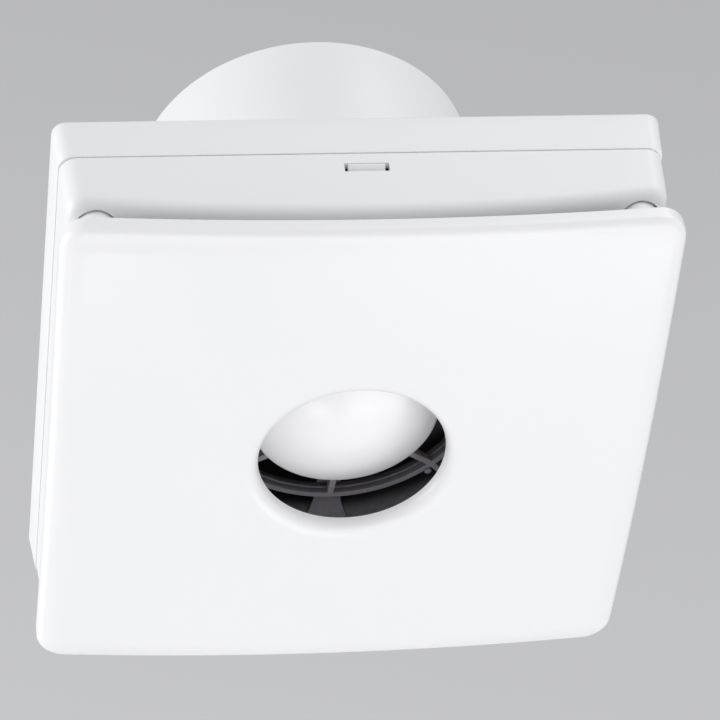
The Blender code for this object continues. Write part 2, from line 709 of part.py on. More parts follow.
def make_dome_cap():
    edge_centre = DOME_RADIUS - DOME_EDGE
    lean = math.asin(edge_centre / (DOME_CROWN - DOME_EDGE))
    crown_end = edge_centre + DOME_EDGE * math.sin(lean)
    profile = [crown_point(crown_end * step / 6, 0) for step in range(7)]
    for step in range(1, 5):
        angle = lean + (math.pi / 2 - lean) * step / 4
        radius = edge_centre + DOME_EDGE * math.sin(angle)
        profile.append((radius, DOME_RIM - DOME_EDGE * math.cos(angle)))
    skirt_back = GUARD_FRONT - CLEARANCE
    skirt_inner = DOME_SKIRT_RADIUS - 1.5 * MM
    rim_back = DOME_RIM + 0.7 * MM
    profile += [
        (DOME_RADIUS - 0.3 * MM, rim_back),
        (DOME_SKIRT_RADIUS, rim_back),
        (DOME_SKIRT_RADIUS, skirt_back),
        (skirt_inner, skirt_back),
    ]
    profile += [crown_point(skirt_inner * step / 5, DOME_SKIN) for step in range(5, -1, -1)]
    return turned("dome_cap", profile, "dome_white", steps=36)


def make_motor():
    outline = [
        (STACK_LEFT, -STACK_HALF_HEIGHT),
        (LIMB_RIGHT, -STACK_HALF_HEIGHT),
        (LIMB_RIGHT, STACK_HALF_HEIGHT),
        (STACK_LEFT, STACK_HALF_HEIGHT),
    ]
    stack = prism("stator_core", outline, STACK_FRONT, STACK_BACK, "lamination_steel")
    low = (STACK_WINDOW_LEFT, STACK_FRONT - 1 * MM, -WINDOW_HALF_HEIGHT)
    holes = [block("gap", low, (LIMB_LEFT, STACK_BACK + 1 * MM, WINDOW_HALF_HEIGHT), None)]
    bore = ROTOR_RADIUS + ROTOR_GAP
    holes.append(rod("bore", bore, STACK_FRONT - 1 * MM, STACK_BACK + 1 * MM, None, steps=32))
    for side in (-1, 1):
        place = (0, side * MOTOR_SCREW_OFFSET)
        hole = rod("hole", SCREW_HOLE_RADIUS, STACK_FRONT - 1 * MM, STACK_BACK + 1 * MM, None, place, 12)
        holes.append(hole)
    cut(stack, holes)

    gap = CLEARANCE
    flange = 4.6 * MM
    spool_end = WINDOW_HALF_HEIGHT - gap
    bobbin_low = (LIMB_LEFT - flange, STACK_FRONT - flange, -spool_end)
    bobbin_high = (LIMB_RIGHT + flange, STACK_BACK + flange, spool_end)
    bobbin = block("coil_bobbin", bobbin_low, bobbin_high, "bobbin_nylon")
    tunnel_low = (LIMB_LEFT - gap, STACK_FRONT - gap, -WINDOW_HALF_HEIGHT - 1 * MM)
    tunnel_high = (LIMB_RIGHT + gap, STACK_BACK + gap, WINDOW_HALF_HEIGHT + 1 * MM)
    tube = 1.2 * MM
    waist = spool_end - 1.6 * MM
    groove_low = (LIMB_LEFT - flange - 1 * MM, STACK_FRONT - flange - 1 * MM, -waist)
    groove_high = (LIMB_RIGHT + flange + 1 * MM, STACK_BACK + flange + 1 * MM, waist)
    groove = block("groove", groove_low, groove_high, None)
    core_low = (LIMB_LEFT - tube, STACK_FRONT - tube, -waist - 1 * MM)
    core_high = (LIMB_RIGHT + tube, STACK_BACK + tube, waist + 1 * MM)
    cut(groove, [block("core", core_low, core_high, None)])
    cut(bobbin, [groove, block("tunnel", tunnel_low, tunnel_high, None)])

    depth = flange - 0.8 * MM
    wind_low = (LIMB_LEFT - depth, STACK_FRONT - depth, -waist + gap)
    wind_high = (LIMB_RIGHT + depth, STACK_BACK + depth, waist - gap)
    winding = block("coil_winding", wind_low, wind_high, "winding_copper")
    hollow_low = (LIMB_LEFT - tube - gap, STACK_FRONT - tube - gap, -waist)
    hollow_high = (LIMB_RIGHT + tube + gap, STACK_BACK + tube + gap, waist)
    cut(winding, [block("hollow", hollow_low, hollow_high, None)])

    rotor_profile = [
        (SHAFT_RADIUS + gap, STACK_FRONT + 1 * MM),
        (ROTOR_RADIUS - 0.5 * MM, STACK_FRONT + 1 * MM),
        (ROTOR_RADIUS, STACK_FRONT + 1.5 * MM),
        (ROTOR_RADIUS, STACK_BACK - 1.5 * MM),
        (ROTOR_RADIUS - 0.5 * MM, STACK_BACK - 1 * MM),
        (SHAFT_RADIUS + gap, STACK_BACK - 1 * MM),
    ]
    turned("rotor_core", rotor_profile, "lamination_steel", steps=24)
    chamfer = 0.4 * MM
    shaft_profile = [
        (0, SHAFT_FRONT),
        (SHAFT_RADIUS - chamfer, SHAFT_FRONT),
        (SHAFT_RADIUS, SHAFT_FRONT + chamfer),
        (SHAFT_RADIUS, SHAFT_BACK - chamfer),
        (SHAFT_RADIUS - chamfer, SHAFT_BACK),
        (0, SHAFT_BACK),
    ]
    turned("motor_shaft", shaft_profile, "plated_steel", steps=SMALL_ROUND_STEPS)
    make_bracket("front", STACK_FRONT - gap, -1)
    make_bracket("rear", STACK_BACK + gap, 1)
    for number, side in enumerate((1, -1)):
        make_motor_screw(("top", "bottom")[number], side)


def make_bracket(name, foot, facing):
    """A bent steel strap across the stack and the bush that it holds. facing is -1 towards the room."""
    foot_end = STACK_HALF_HEIGHT
    stand = BRACKET_STAND
    slope = BRACKET_BRIDGE_HALF + 3 * MM
    thickness = BRACKET_THICKNESS
    lower = [(0, -foot_end), (0, -slope), (stand, -BRACKET_BRIDGE_HALF)]
    upper = [(stand, BRACKET_BRIDGE_HALF), (0, slope), (0, foot_end)]
    near = lower + upper
    far = [(y + thickness, z) for y, z in near]
    outline = [(foot + facing * y, z) for y, z in near + list(reversed(far))]
    strap = prism(
        name + "_bearing_bracket", outline, -BRACKET_HALF_WIDTH, BRACKET_HALF_WIDTH, "plated_steel", "YZ"
    )
    middle = foot + facing * (stand + thickness / 2)
    holes = [rod("seat", BEARING_RADIUS + CLEARANCE, middle - 4 * MM, middle + 4 * MM, None, steps=20)]
    for side in (-1, 1):
        place = (0, side * MOTOR_SCREW_OFFSET)
        holes.append(rod("hole", SCREW_HOLE_RADIUS, foot - 4 * MM, foot + 4 * MM, None, place, 12))
    cut(strap, holes)
    half = BEARING_LENGTH / 2
    bore = SHAFT_RADIUS + 0.08 * MM
    profile = [
        (bore, middle - half),
        (BEARING_RADIUS - 0.8 * MM, middle - half),
        (BEARING_RADIUS, middle - half + 0.8 * MM),
        (BEARING_RADIUS, middle + half - 0.8 * MM),
        (BEARING_RADIUS - 0.8 * MM, middle + half),
        (bore, middle + half),
    ]
    turned(name + "_bearing", profile, "sintered_bronze", steps=16)


def make_screw(name, place, seat, length, head_radius, radius, slot="plated_steel"):
    """A pan-head screw that points into the wall: seat is where the underside of its head rests."""
    head = seat - SCREW_HEAD
    profile = [
        (0, head),
        (head_radius * 0.7, head),
        (head_radius, head + 0.8 * MM),
        (head_radius, seat),
        (radius, seat),
        (radius, seat + length - 0.6 * MM),
        (radius * 0.5, seat + length),
        (0, seat + length),
    ]
    screw = turned(name, profile, slot, place, 10)
    x, z = place
    slot_low = (x - head_radius, head - 1 * MM, z - 0.4 * MM)
    slot_high = (x + head_radius, head + 0.7 * MM, z + 0.4 * MM)
    return cut(screw, [block("slot", slot_low, slot_high, None)])


def make_motor_screw(name, side):
    place = (0, side * MOTOR_SCREW_OFFSET)
    seat = PLATE_FRONT - CLEARANCE
    nut_front = STACK_BACK + 2 * CLEARANCE + BRACKET_THICKNESS
    nut_back = nut_front + 2.2 * MM
    make_screw("motor_screw_" + name, place, seat, nut_back + 1 * MM - seat, 3 * MM, SCREW_RADIUS)
    nut = rod("motor_nut_" + name, 3.1 * MM, nut_front, nut_back, "plated_steel", place, 6)
    return cut(nut, [rod("thread", SCREW_RADIUS + 0.2 * MM, 0, 20 * MM, None, place, 14)])


def blade(number):
    """One twisted blade: steep at the hub and flat at the tip, bent a little like a sail."""
    shape = bmesh.new()
    spans = 4
    chords = 4
    root = HUB_RADIUS - 0.9 * MM
    sheets = []
    for side in (-0.5, 0.5):
        sheet = []
        for span in range(spans + 1):
            radius = root + (BLADE_TIP - root) * span / spans
            half_turn = BLADE_HALF_TURN * (1 - BLADE_NARROWING * span / spans)
            sweep = BLADE_SWEEP * span / spans
            row = []
            for chord in range(chords + 1):
                share = chord / chords
                angle = 2 * math.pi * number / BLADE_COUNT + sweep + half_turn * (2 * share - 1)
                y = BLADE_FRONT + (BLADE_BACK - BLADE_FRONT) * (1 - share)
                y += BLADE_BOW * math.sin(math.pi * share) + side * BLADE_THICKNESS
                row.append(shape.verts.new((radius * math.cos(angle), y, radius * math.sin(angle))))
            sheet.append(row)
        sheets.append(sheet)
    under, over = sheets
    for span in range(spans):
        for chord in range(chords):
            for sheet, flip in ((under, False), (over, True)):
                quad = [
                    sheet[span][chord],
                    sheet[span + 1][chord],
                    sheet[span + 1][chord + 1],
                    sheet[span][chord + 1],
                ]
                shape.faces.new(list(reversed(quad)) if flip else quad)
    edge = [(span, 0) for span in range(spans)]
    edge += [(spans, chord) for chord in range(chords)]
    edge += [(spans - span, chords) for span in range(spans)]
    edge += [(0, chords - chord) for chord in range(chords)]
    for (span, chord), (next_span, next_chord) in zip(edge, edge[1:] + edge[:1]):
        near = (under[span][chord], under[next_span][next_chord])
        far = (over[next_span][next_chord], over[span][chord])
        shape.faces.new(near + far)
    return finish_mesh("blade", shape, None)


def make_impeller():
    bore = SHAFT_RADIUS + CLEARANCE
    boss = 5 * MM
    inside = HUB_RADIUS - HUB_SKIN
    profile = [
        (bore, HUB_BACK),
        (HUB_RADIUS - 3 * MM, HUB_BACK),
        (HUB_RADIUS - 0.9 * MM, HUB_BACK - 0.9 * MM),
        (HUB_RADIUS, HUB_BACK - 3 * MM),
        (HUB_RADIUS, HUB_FRONT),
        (inside, HUB_FRONT),
        (inside, HUB_BACK - HUB_SKIN - 1 * MM),
        (inside - 1 * MM, HUB_BACK - HUB_SKIN),
        (boss, HUB_BACK - HUB_SKIN),
        (boss, HUB_FRONT + 3 * MM),
        (bore, HUB_FRONT + 3 * MM),
    ]
    impeller = turned("impeller", profile, "impeller_abs", steps=28)
    join(impeller, [blade(number) for number in range(BLADE_COUNT)])
    clip_front = HUB_BACK + CLEARANCE
    clip = [
        (SHAFT_RADIUS + CLEARANCE, clip_front),
        (4.4 * MM, clip_front),
        (4.4 * MM, clip_front + 0.9 * MM),
        (2.9 * MM, clip_front + 1.8 * MM),
        (SHAFT_RADIUS + CLEARANCE, clip_front + 1.8 * MM),
    ]
    turned("impeller_clip", clip, "plated_steel", steps=20)


def make_terminal():
    half = TERMINAL_SIZE / 2
    back = HOUSING_FLOOR - CLEARANCE
    front = back - TERMINAL_SIZE.y
    low = (TERMINAL_CENTRE.x - half.x, front, TERMINAL_CENTRE.z - half.z)
    high = (TERMINAL_CENTRE.x + half.x, back, TERMINAL_CENTRE.z + half.z)
    body = block("terminal_block", low, high, "terminal_nylon")
    tunnels = []
    middle = (front + back) / 2 + 1.5 * MM
    for number in range(3):
        x = TERMINAL_CENTRE.x + (number - 1) * POLE_PITCH
        place = (x, TERMINAL_CENTRE.z)
        well = rod("well", TERMINAL_SCREW_RADIUS + CLEARANCE, front - 1 * MM, middle - 1 * MM, None, place)
        tunnels.append(well)
        tunnel_low = (x - 1.7 * MM, middle - 1.7 * MM, TERMINAL_CENTRE.z - half.z - 1 * MM)
        tunnel_high = (x + 1.7 * MM, middle + 1.7 * MM, TERMINAL_CENTRE.z + half.z + 1 * MM)
        tunnels.append(block("tunnel", tunnel_low, tunnel_high, None))
    cut(body, tunnels)
    for number in range(3):
        place = (TERMINAL_CENTRE.x + (number - 1) * POLE_PITCH, TERMINAL_CENTRE.z)
        name = "terminal_screw_" + str(number + 1)
        seat = front + 3.4 * MM
        make_screw(name, place, seat, 1.6 * MM, TERMINAL_SCREW_RADIUS, 1.3 * MM, "brass")


def make_cable_clamp():
    half_length = CLAMP_LENGTH / 2
    half_width = CLAMP_WIDTH / 2
    front = CLAMP_BACK - CLAMP_THICKNESS
    low = (CLAMP_CENTRE.x - half_length, front, CLAMP_CENTRE.z - half_width)
    high = (CLAMP_CENTRE.x + half_length, CLAMP_BACK, CLAMP_CENTRE.z + half_width)
    clamp = block("cable_clamp", low, high, "terminal_nylon")
    saddle = rod("saddle", SADDLE_RADIUS, -CLAMP_WIDTH, CLAMP_WIDTH, None, steps=16)
    saddle.data.transform(Matrix.Rotation(math.radians(90), 4, "X"))
    saddle.data.transform(Matrix.Translation((CLAMP_CENTRE.x, CLAMP_BACK + SADDLE_RISE, CLAMP_CENTRE.z)))
    cutters = [saddle]
    places = []
    for x in (-CLAMP_SCREW_OFFSET, CLAMP_SCREW_OFFSET):
        place = (CLAMP_CENTRE.x + x, CLAMP_CENTRE.z)
        places.append(place)
        cutters.append(rod("hole", 1.7 * MM, front - 1 * MM, CLAMP_BACK + 1 * MM, None, place, 12))
    cut(clamp, cutters)
    for number, place in enumerate(places):
        name = "clamp_screw_" + str(number + 1)
        make_screw(name, place, front - CLEARANCE, 6 * MM, 2.6 * MM, 1.2 * MM)
    neck = CABLE_ENTRY_RADIUS - CLEARANCE
    flange_back = HOUSING_FLOOR - CLEARANCE
    profile = [
        (3.4 * MM, -0.3 * MM),
        (neck, -0.3 * MM),
        (neck, flange_back),
        (8 * MM, flange_back),
        (7.6 * MM, flange_back - 1.6 * MM),
        (4.6 * MM, flange_back - 2.6 * MM),
        (3.4 * MM, flange_back - 2.6 * MM),
    ]
    turned("cable_grommet", profile, "grommet_rubber", (CABLE_ENTRY.x, CABLE_ENTRY.z), 24)


def smooth_route(points, steps):
    """Points on a smooth curve through the given ones (Catmull-Rom)."""
    ends = [points[0] * 2 - points[1]] + points + [points[-1] * 2 - points[-2]]
    route = []
    for before, start, stop, after in zip(ends, ends[1:], ends[2:], ends[3:]):
        for step in range(steps):
            t = step / steps
            route.append(
                0.5
                * (
                    2 * start
                    + (stop - before) * t
                    + (2 * before - 5 * start + 4 * stop - after) * t * t
                    + (3 * start - before - 3 * stop + after) * t * t * t
                )
            )
    return route + [points[-1]]


def make_lead(name, points, slot):
    """An insulated wire along a route of points in millimetres."""
    route = smooth_route([Vector(point) * MM for point in points], 2)
    curve = bpy.data.curves.new(name, "CURVE")
    curve.dimensions = "3D"
    curve.bevel_depth = LEAD_RADIUS
    curve.bevel_resolution = 2
    curve.use_fill_caps = True
    spline = curve.splines.new("POLY")
    spline.points.add(len(route) - 1)
    for point, place in zip(spline.points, route):
        point.co = (*place, 1)
    obj = bpy.data.objects.new(name, curve)
    curve.materials.append(material(slot))
    bpy.context.scene.collection.objects.link(obj)


# Each lead leaves its terminal, passes the hole in the flare and ends beside the winding.
LEAD_LIVE_ROUTE = [
    (51, -6.7, -53.8),
    (50.5, -7.6, -47),
    (48.5, -11.5, -37.8),
    (44.5, -14.2, -35),
    (40.3, -15, -32.7),
    (37.1, -15, -30.4),
    (34.9, -16.4, -30.2),
    (33.7, -17.9, -30.9),
    (32.8, -18.4, -30.4),
    (33, -17.4, -27.6),
    (34, -15.8, -23.5),
    (33.8, -14.4, -18),
    (32.4, -13.9, -14),
]
LEAD_NEUTRAL_ROUTE = [
    (58, -6.7, -53.8),
    (54, -8, -47.5),
    (51.5, -11.5, -38.2),
    (46.5, -14.2, -33.3),
    (41.8, -15, -31),
    (38.5, -15, -28.7),
    (35.9, -15.8, -26.2),
    (36.2, -17.5, -21.5),
    (36.2, -16, -17),
    (36, -13.9, -13.8),
]


def main():
    clear_scene()
    make_front_panel()
    make_front_cover()
    make_latch("latch_top", 1)
    make_latch("latch_bottom", -1)
    make_rear_housing()
    make_fan_frame()
    make_inlet_guard()
    make_dome_cap()
    make_motor()
    make_impeller()
    make_terminal()
    make_cable_clamp()
    for number, place in enumerate(corners(FRAME_SCREW_OFFSET)):
        name = "frame_screw_" + str(number + 1)
        make_screw(name, place, LUG_FRONT - CLEARANCE, 9 * MM, 3.2 * MM, SCREW_RADIUS)
    make_lead("lead_live", LEAD_LIVE_ROUTE, "red_pvc")
    make_lead("lead_neutral", LEAD_NEUTRAL_ROUTE, "blue_pvc")


main()
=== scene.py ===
"""The looks of the bathroom extractor fan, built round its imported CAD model.

Everything is in metres in the CAD frame: the origin is at the centre of the housing's flat back
face, on the duct's axis, +Y points into the wall, +X to the right and +Z up.
"""

import math

import bmesh
import bpy
from mathutils import Matrix, Vector


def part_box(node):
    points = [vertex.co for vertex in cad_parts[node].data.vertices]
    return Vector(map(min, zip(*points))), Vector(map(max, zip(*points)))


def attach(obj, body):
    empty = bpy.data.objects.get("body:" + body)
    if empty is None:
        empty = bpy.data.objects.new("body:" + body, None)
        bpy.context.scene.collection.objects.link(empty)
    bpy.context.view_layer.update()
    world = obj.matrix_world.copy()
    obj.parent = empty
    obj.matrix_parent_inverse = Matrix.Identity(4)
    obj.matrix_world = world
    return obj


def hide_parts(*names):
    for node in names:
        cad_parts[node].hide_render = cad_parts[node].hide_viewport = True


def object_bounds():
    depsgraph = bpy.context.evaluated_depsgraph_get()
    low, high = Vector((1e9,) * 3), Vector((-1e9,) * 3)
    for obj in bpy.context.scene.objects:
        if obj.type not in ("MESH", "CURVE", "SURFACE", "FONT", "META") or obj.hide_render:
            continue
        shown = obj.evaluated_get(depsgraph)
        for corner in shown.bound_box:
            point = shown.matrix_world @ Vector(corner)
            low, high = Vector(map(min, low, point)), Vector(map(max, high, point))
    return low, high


MM = 0.001
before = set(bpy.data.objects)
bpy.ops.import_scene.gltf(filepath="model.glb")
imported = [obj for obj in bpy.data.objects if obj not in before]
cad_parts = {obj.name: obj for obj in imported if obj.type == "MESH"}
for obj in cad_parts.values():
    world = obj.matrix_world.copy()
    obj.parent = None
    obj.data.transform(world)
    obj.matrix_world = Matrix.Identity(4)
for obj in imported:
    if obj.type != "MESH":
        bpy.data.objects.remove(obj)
cad_low, cad_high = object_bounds()

# Places that the CAD model gives.
_, panel_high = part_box("front_panel")
_, cover_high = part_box("front_cover")
housing_low, housing_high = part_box("rear_housing")
guard_low, guard_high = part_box("inlet_guard")
frame_low, frame_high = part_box("fan_frame")
_, dome_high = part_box("dome_cap")
_, impeller_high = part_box("impeller")

PANEL_HALF = panel_high.x
PANEL_APEX = -50.7 * MM
PANEL_RISE = 3.4 * MM
PANEL_CORNER = 8 * MM
PANEL_ROLL = 3.3 * MM
PANEL_SKIN = 2.6 * MM
PANEL_RIM_DEPTH = 6 * MM
HOLE_RADIUS = 26.2 * MM
HOLE_LIP_RADIUS = 30.9 * MM
HOLE_BACK = -45.9 * MM
POST_OFFSET = 73 * MM
POST_RADIUS = 5.6 * MM
POST_FOOT_RADIUS = POST_RADIUS + 1.2 * MM
POST_RIB_REACH = 8.5 * MM
POST_RIB_HALF = 0.7 * MM

COVER_BACK_HALF = cover_high.x
COVER_FRONT_HALF = 81.3 * MM
COVER_CORNER = 5 * MM
COVER_SKIN = 2 * MM
COVER_ROLL = 5.4 * MM
COVER_CREST = -37 * MM
COVER_CORNER_DROP = 6.1 * MM
COVER_BACK = cover_high.y + 0.25 * MM
INTAKE_RADIUS = 54 * MM
INTAKE_LIP = -25.5 * MM
SOCKET_RADIUS = 6.2 * MM
SOCKET_FLOOR = -21 * MM
SOCKET_TOP = -29 * MM
WINDOW_HALF_WIDTH = 6.1 * MM
WINDOW_BACK = -17.1 * MM
WINDOW_FRONT = -20.2 * MM
TONGUE_OUTER = 79.1 * MM
TONGUE_INNER = 77.5 * MM
TONGUE_FOOT = 2.4 * MM
WEDGE_TOP = 81.8 * MM

HOUSING_HALF = housing_high.x
HOUSING_FRONT_HALF = 82.3 * MM
HOUSING_CORNER = 4 * MM
HOUSING_WALL = 2.4 * MM
HOUSING_FLOOR = -2.4 * MM
PARTING = -13.2 * MM
LIP_OUTER_HALF = 79.5 * MM
LIP_INNER_HALF = 77.9 * MM
LIP_CORNER = 3.2 * MM
LIP_FRONT = housing_low.y
DUCT_RADIUS = 49 * MM
SPIGOT_WALL = 2 * MM
SPIGOT_EDGE = 0.7 * MM
SPIGOT_FILLET = 1.5 * MM
SPIGOT_END = housing_high.y
COLLAR_RADIUS = 49.2 * MM
COLLAR_FRONT = -8 * MM
WALL_HOLE_OFFSET = 70 * MM
WALL_HOLE_RADIUS = 2.4 * MM
FRAME_SCREW_OFFSET = 41 * MM
SCREW_HOLE_RADIUS = 1.8 * MM
BOSS_RADIUS = 4 * MM
BOSS_FRONT = -9.7 * MM
CLAMP_SCREW_OFFSET = 6 * MM
CABLE_ENTRY_RADIUS = 6 * MM

# Frame, inlet guard and dome.
SLEEVE_OUTER = 46.6 * MM
SLEEVE_INNER = 45 * MM
FLARE_OUTER = 53.5 * MM
FLARE_INNER = 52.2 * MM
ARM_FRONT = -20.2 * MM
ARM_BACK = -16.5 * MM
ARM_EDGE = [
    (18 * MM, 4.6 * MM),
    (22 * MM, 3.4 * MM),
    (41.5 * MM, 3.4 * MM),
    (46 * MM, 4 * MM),
    (49.5 * MM, 5.2 * MM),
    (52.2 * MM, 7.2 * MM),
]
ARM_RISE_START = 44 * MM
ARM_RISE = 2.6 * MM
PLATE_RADIUS = 20 * MM
PLATE_BORE = 5.6 * MM
PLATE_FRONT = -20.4 * MM
PLATE_BACK = -17.6 * MM
LUG_FRONT = -13.2 * MM
LUG_BACK = -10 * MM
LUG_HALF = 4.5 * MM
LUG_END = 62 * MM
PILLAR_RADIUS = 3.6 * MM
MOTOR_SCREW_OFFSET = 17 * MM
LEAD_HOLE_RADIUS = 2.6 * MM
LEAD_HOLE_TURN = math.radians(38)
LEAD_HOLE_AT = -15 * MM
GUARD_FRONT = guard_low.y
GUARD_BACK = guard_high.y
GUARD_HUB_RADIUS = 23.5 * MM
GUARD_HUB_BACK = -24.6 * MM
RING_RADIUS = 40.8 * MM
RING_FRONT = -24.2 * MM
RING_WALL = 1.8 * MM
RING_LEDGE = -22.3 * MM
RIB_WIDTH = 2 * MM
RIB_COUNT = 8
OUTER_RIB_END = 52.6 * MM
NUB_RADIUS = 1.1 * MM
NUB_OFFSET = 0.4 * MM
NUB_TURN = math.radians(3.2)
DOME_RADIUS = 26.7 * MM
DOME_RIM = -30 * MM
DOME_CROWN = 60 * MM
DOME_EDGE = 2 * MM
DOME_SKIN = 1.8 * MM
DOME_SKIRT_OUTER = 21.5 * MM
DOME_SKIRT_INNER = 20 * MM

HUB_RADIUS = 16 * MM
HUB_FRONT = 17.5 * MM
HUB_SKIN = 1.8 * MM
HUB_BORE = 2.3 * MM
HUB_BOSS = 5 * MM
BLADE_COUNT = 7
BLADE_ROOT = 15.1 * MM
BLADE_TIP = 43.5 * MM
BLADE_FRONT = 19.5 * MM
BLADE_BACK = 34 * MM
BLADE_HALF_TURN = 0.36
BLADE_NARROWING = 0.22
BLADE_SWEEP = 0.1
BLADE_BOW = 1.6 * MM
BLADE_THICKNESS = 1.5 * MM

# The live lead's way from its terminal to the winding, in millimetres.
LEAD_RADIUS = 0.8 * MM
LEAD_SIDES = 16
LIVE_LEAD_ROUTE = [
    (51, -6.7, -53.8),
    (50.5, -7.6, -47),
    (48.5, -11.5, -37.8),
    (44.5, -14.2, -35),
    (40.3, -15, -32.7),
    (37.1, -15, -30.4),
    (35, -16.2, -30.6),
    (33.6, -17.8, -32.5),
    (32.2, -18.6, -33.5),
    (31.5, -17.7, -31.7),
    (32.6, -16.5, -28.5),
    (34.2, -15.6, -24.5),
    (35.2, -14.6, -19),
    (32.4, -13.9, -14),
]

# The camera looks along this direction at a point near the origin.
CAMERA_AIM = Vector((7.7154 * MM, -5.6973 * MM, -4.0109 * MM))
CAMERA_DISTANCE = 1.199127
CAMERA_AZIMUTH = math.radians(12.37933)
CAMERA_ELEVATION = math.radians(44.27625)
CAMERA_ROLL = math.radians(7.39865)
CAMERA_LENS = 211.0589

# How far below the object the floor lies.
FLOOR_DROP = 1.1

# Where along Y the pale tone on the dark parts (dust and painted light) begins to fade into painted
# shade, and where it has faded.
FRAME_DUST_AND_SHADE = (-21.5 * MM, -17 * MM)
GUARD_DUST_AND_SHADE = (-24 * MM, -19.5 * MM)

# How finely round shapes are divided.
SIDE_ANGLE = math.radians(2)
SIDE_STEPS = 20
CORNER_STEPS = 10
ROUND_STEPS = 128
SMOOTH_ANGLE = math.radians(32)


# ---------------------------------------------------------------- materials


def new_material(name):
    made = bpy.data.materials.new(name)
    made.use_nodes = True
    tree = made.node_tree
    return made, tree, tree.nodes["Principled BSDF"]


def object_place(tree, stretch=(1, 1, 1)):
    """The point's place on the piece in metres, stretched along each axis."""
    place = tree.nodes.new("ShaderNodeTexCoord").outputs["Object"]
    if stretch == (1, 1, 1):
        return place
    mapping = tree.nodes.new("ShaderNodeMapping")
    mapping.inputs["Scale"].default_value = stretch
    tree.links.new(place, mapping.inputs["Vector"])
    return mapping.outputs["Vector"]


def noise(tree, size, detail=2.0, roughness=0.5, stretch=(1, 1, 1)):
    """Smooth noise whose features are about size metres across."""
    node = tree.nodes.new("ShaderNodeTexNoise")
    node.inputs["Scale"].default_value = 1 / size
    node.inputs["Detail"].default_value = detail
    node.inputs["Roughness"].default_value = roughness
    tree.links.new(object_place(tree, stretch), node.inputs["Vector"])
    return node.outputs["Fac"]


def bands(tree, pitch, axis, distortion=0.0):
    """Straight bands across one axis, one for each pitch metres."""
    node = tree.nodes.new("ShaderNodeTexWave")
    node.wave_type = "BANDS"
    node.bands_direction = axis
    node.inputs["Scale"].default_value = math.pi / 10 / pitch
    node.inputs["Distortion"].default_value = distortion
    tree.links.new(object_place(tree), node.inputs["Vector"])
    return node.outputs["Fac"]


def spread(tree, value, low, high, start=0.35, end=0.65):
    """A number that goes from low to high as value goes from start to end."""
    node = tree.nodes.new("ShaderNodeMapRange")
    node.interpolation_type = "SMOOTHSTEP"
    node.inputs["From Min"].default_value = start
    node.inputs["From Max"].default_value = end
    node.inputs["To Min"].default_value = low
    node.inputs["To Max"].default_value = high
    tree.links.new(value, node.inputs["Value"])
    return node.outputs["Result"]


def two_colours(tree, value, first, second, start=0.35, end=0.65):
    node = tree.nodes.new("ShaderNodeValToRGB")
    node.color_ramp.interpolation = "EASE"
    node.color_ramp.elements[0].position = start
    node.color_ramp.elements[0].color = (*first, 1)
    node.color_ramp.elements[1].position = end
    node.color_ramp.elements[1].color = (*second, 1)
    tree.links.new(value, node.inputs["Fac"])
    return node.outputs["Color"]


def bumps(tree, shader, layers):
    """Bump layers on the shader, each (height, strength, distance in metres)."""
    normal = None
    for height, strength, distance in layers:
        node = tree.nodes.new("ShaderNodeBump")
        node.inputs["Strength"].default_value = strength
        node.inputs["Distance"].default_value = distance
        tree.links.new(height, node.inputs["Height"])
        if normal:
            tree.links.new(normal, node.inputs["Normal"])
        normal = node.outputs["Normal"]
    tree.links.new(normal, shader.inputs["Normal"])


def moulded_plastic(name, light, dark, gloss, grain, coat=0.0):
    """Injection-moulded plastic: faint flow clouds, an uneven gloss and the tool's grain.

    gloss is the (least, most) roughness and grain the (size, strength) of the surface texture.
    """
    made, tree, shader = new_material(name)
    clouds = noise(tree, 60 * MM, 1.0)
    tree.links.new(two_colours(tree, clouds, dark, light, 0, 1), shader.inputs["Base Color"])
    uneven = spread(tree, noise(tree, 35 * MM, 1.0), *gloss, 0, 1)
    tree.links.new(uneven, shader.inputs["Roughness"])
    size, strength = grain
    bumps(tree, shader, [(noise(tree, size, 1.0, 0.5), strength, 0.02 * MM)])
    shader.inputs["Specular IOR Level"].default_value = 0.5
    shader.inputs["Coat Weight"].default_value = coat
    shader.inputs["Coat Roughness"].default_value = 0.12
    return made


def dust_and_painted_shade_plastic(name, shaded_colour, lit_dust_colour, reach, gloss):
    """Dark plastic with dust specks, and painted light and painted shade in its colour.

    The pale tone, partly dust and partly painted light, lies mostly on what faces the room. It fades
    along Y into painted shade, from all of it at reach[0] to none at reach[1].
    """
    made, tree, shader = new_material(name)
    place = tree.nodes.new("ShaderNodeSeparateXYZ")
    tree.links.new(object_place(tree), place.inputs["Vector"])
    # Painted shade: the colour darkens further back along Y, into the duct.
    depth = spread(tree, place.outputs["Y"], 1, 0, *reach)
    facing = tree.nodes.new("ShaderNodeSeparateXYZ")
    normal = tree.nodes.new("ShaderNodeTexCoord").outputs["Normal"]
    tree.links.new(normal, facing.inputs["Vector"])
    # Painted light: faces turned to the room get more of the pale tone.
    painted_light_facing = spread(tree, facing.outputs["Y"], 1, 0.5, -0.95, -0.6)
    dust_and_painted_light = tree.nodes.new("ShaderNodeMath")
    dust_and_painted_light.operation = "MULTIPLY"
    tree.links.new(depth, dust_and_painted_light.inputs[0])
    tree.links.new(painted_light_facing, dust_and_painted_light.inputs[1])
    specks = noise(tree, 2.5 * MM, 4.0, 0.65)
    patchy = tree.nodes.new("ShaderNodeMath")
    patchy.operation = "MULTIPLY"
    tree.links.new(dust_and_painted_light.outputs["Value"], patchy.inputs[0])
    tree.links.new(spread(tree, specks, 0.82, 1, 0.3, 0.7), patchy.inputs[1])
    # The pale colour is dust and painted light. The dark colour is painted shade.
    colour = two_colours(tree, patchy.outputs["Value"], shaded_colour, lit_dust_colour, 0, 1)
    tree.links.new(colour, shader.inputs["Base Color"])
    tree.links.new(spread(tree, specks, *gloss), shader.inputs["Roughness"])
    grain = noise(tree, 0.45 * MM, 2.0, 0.6)
    bumps(tree, shader, [(grain, 0.3, 0.03 * MM), (specks, 0.08, 0.1 * MM)])
    return made


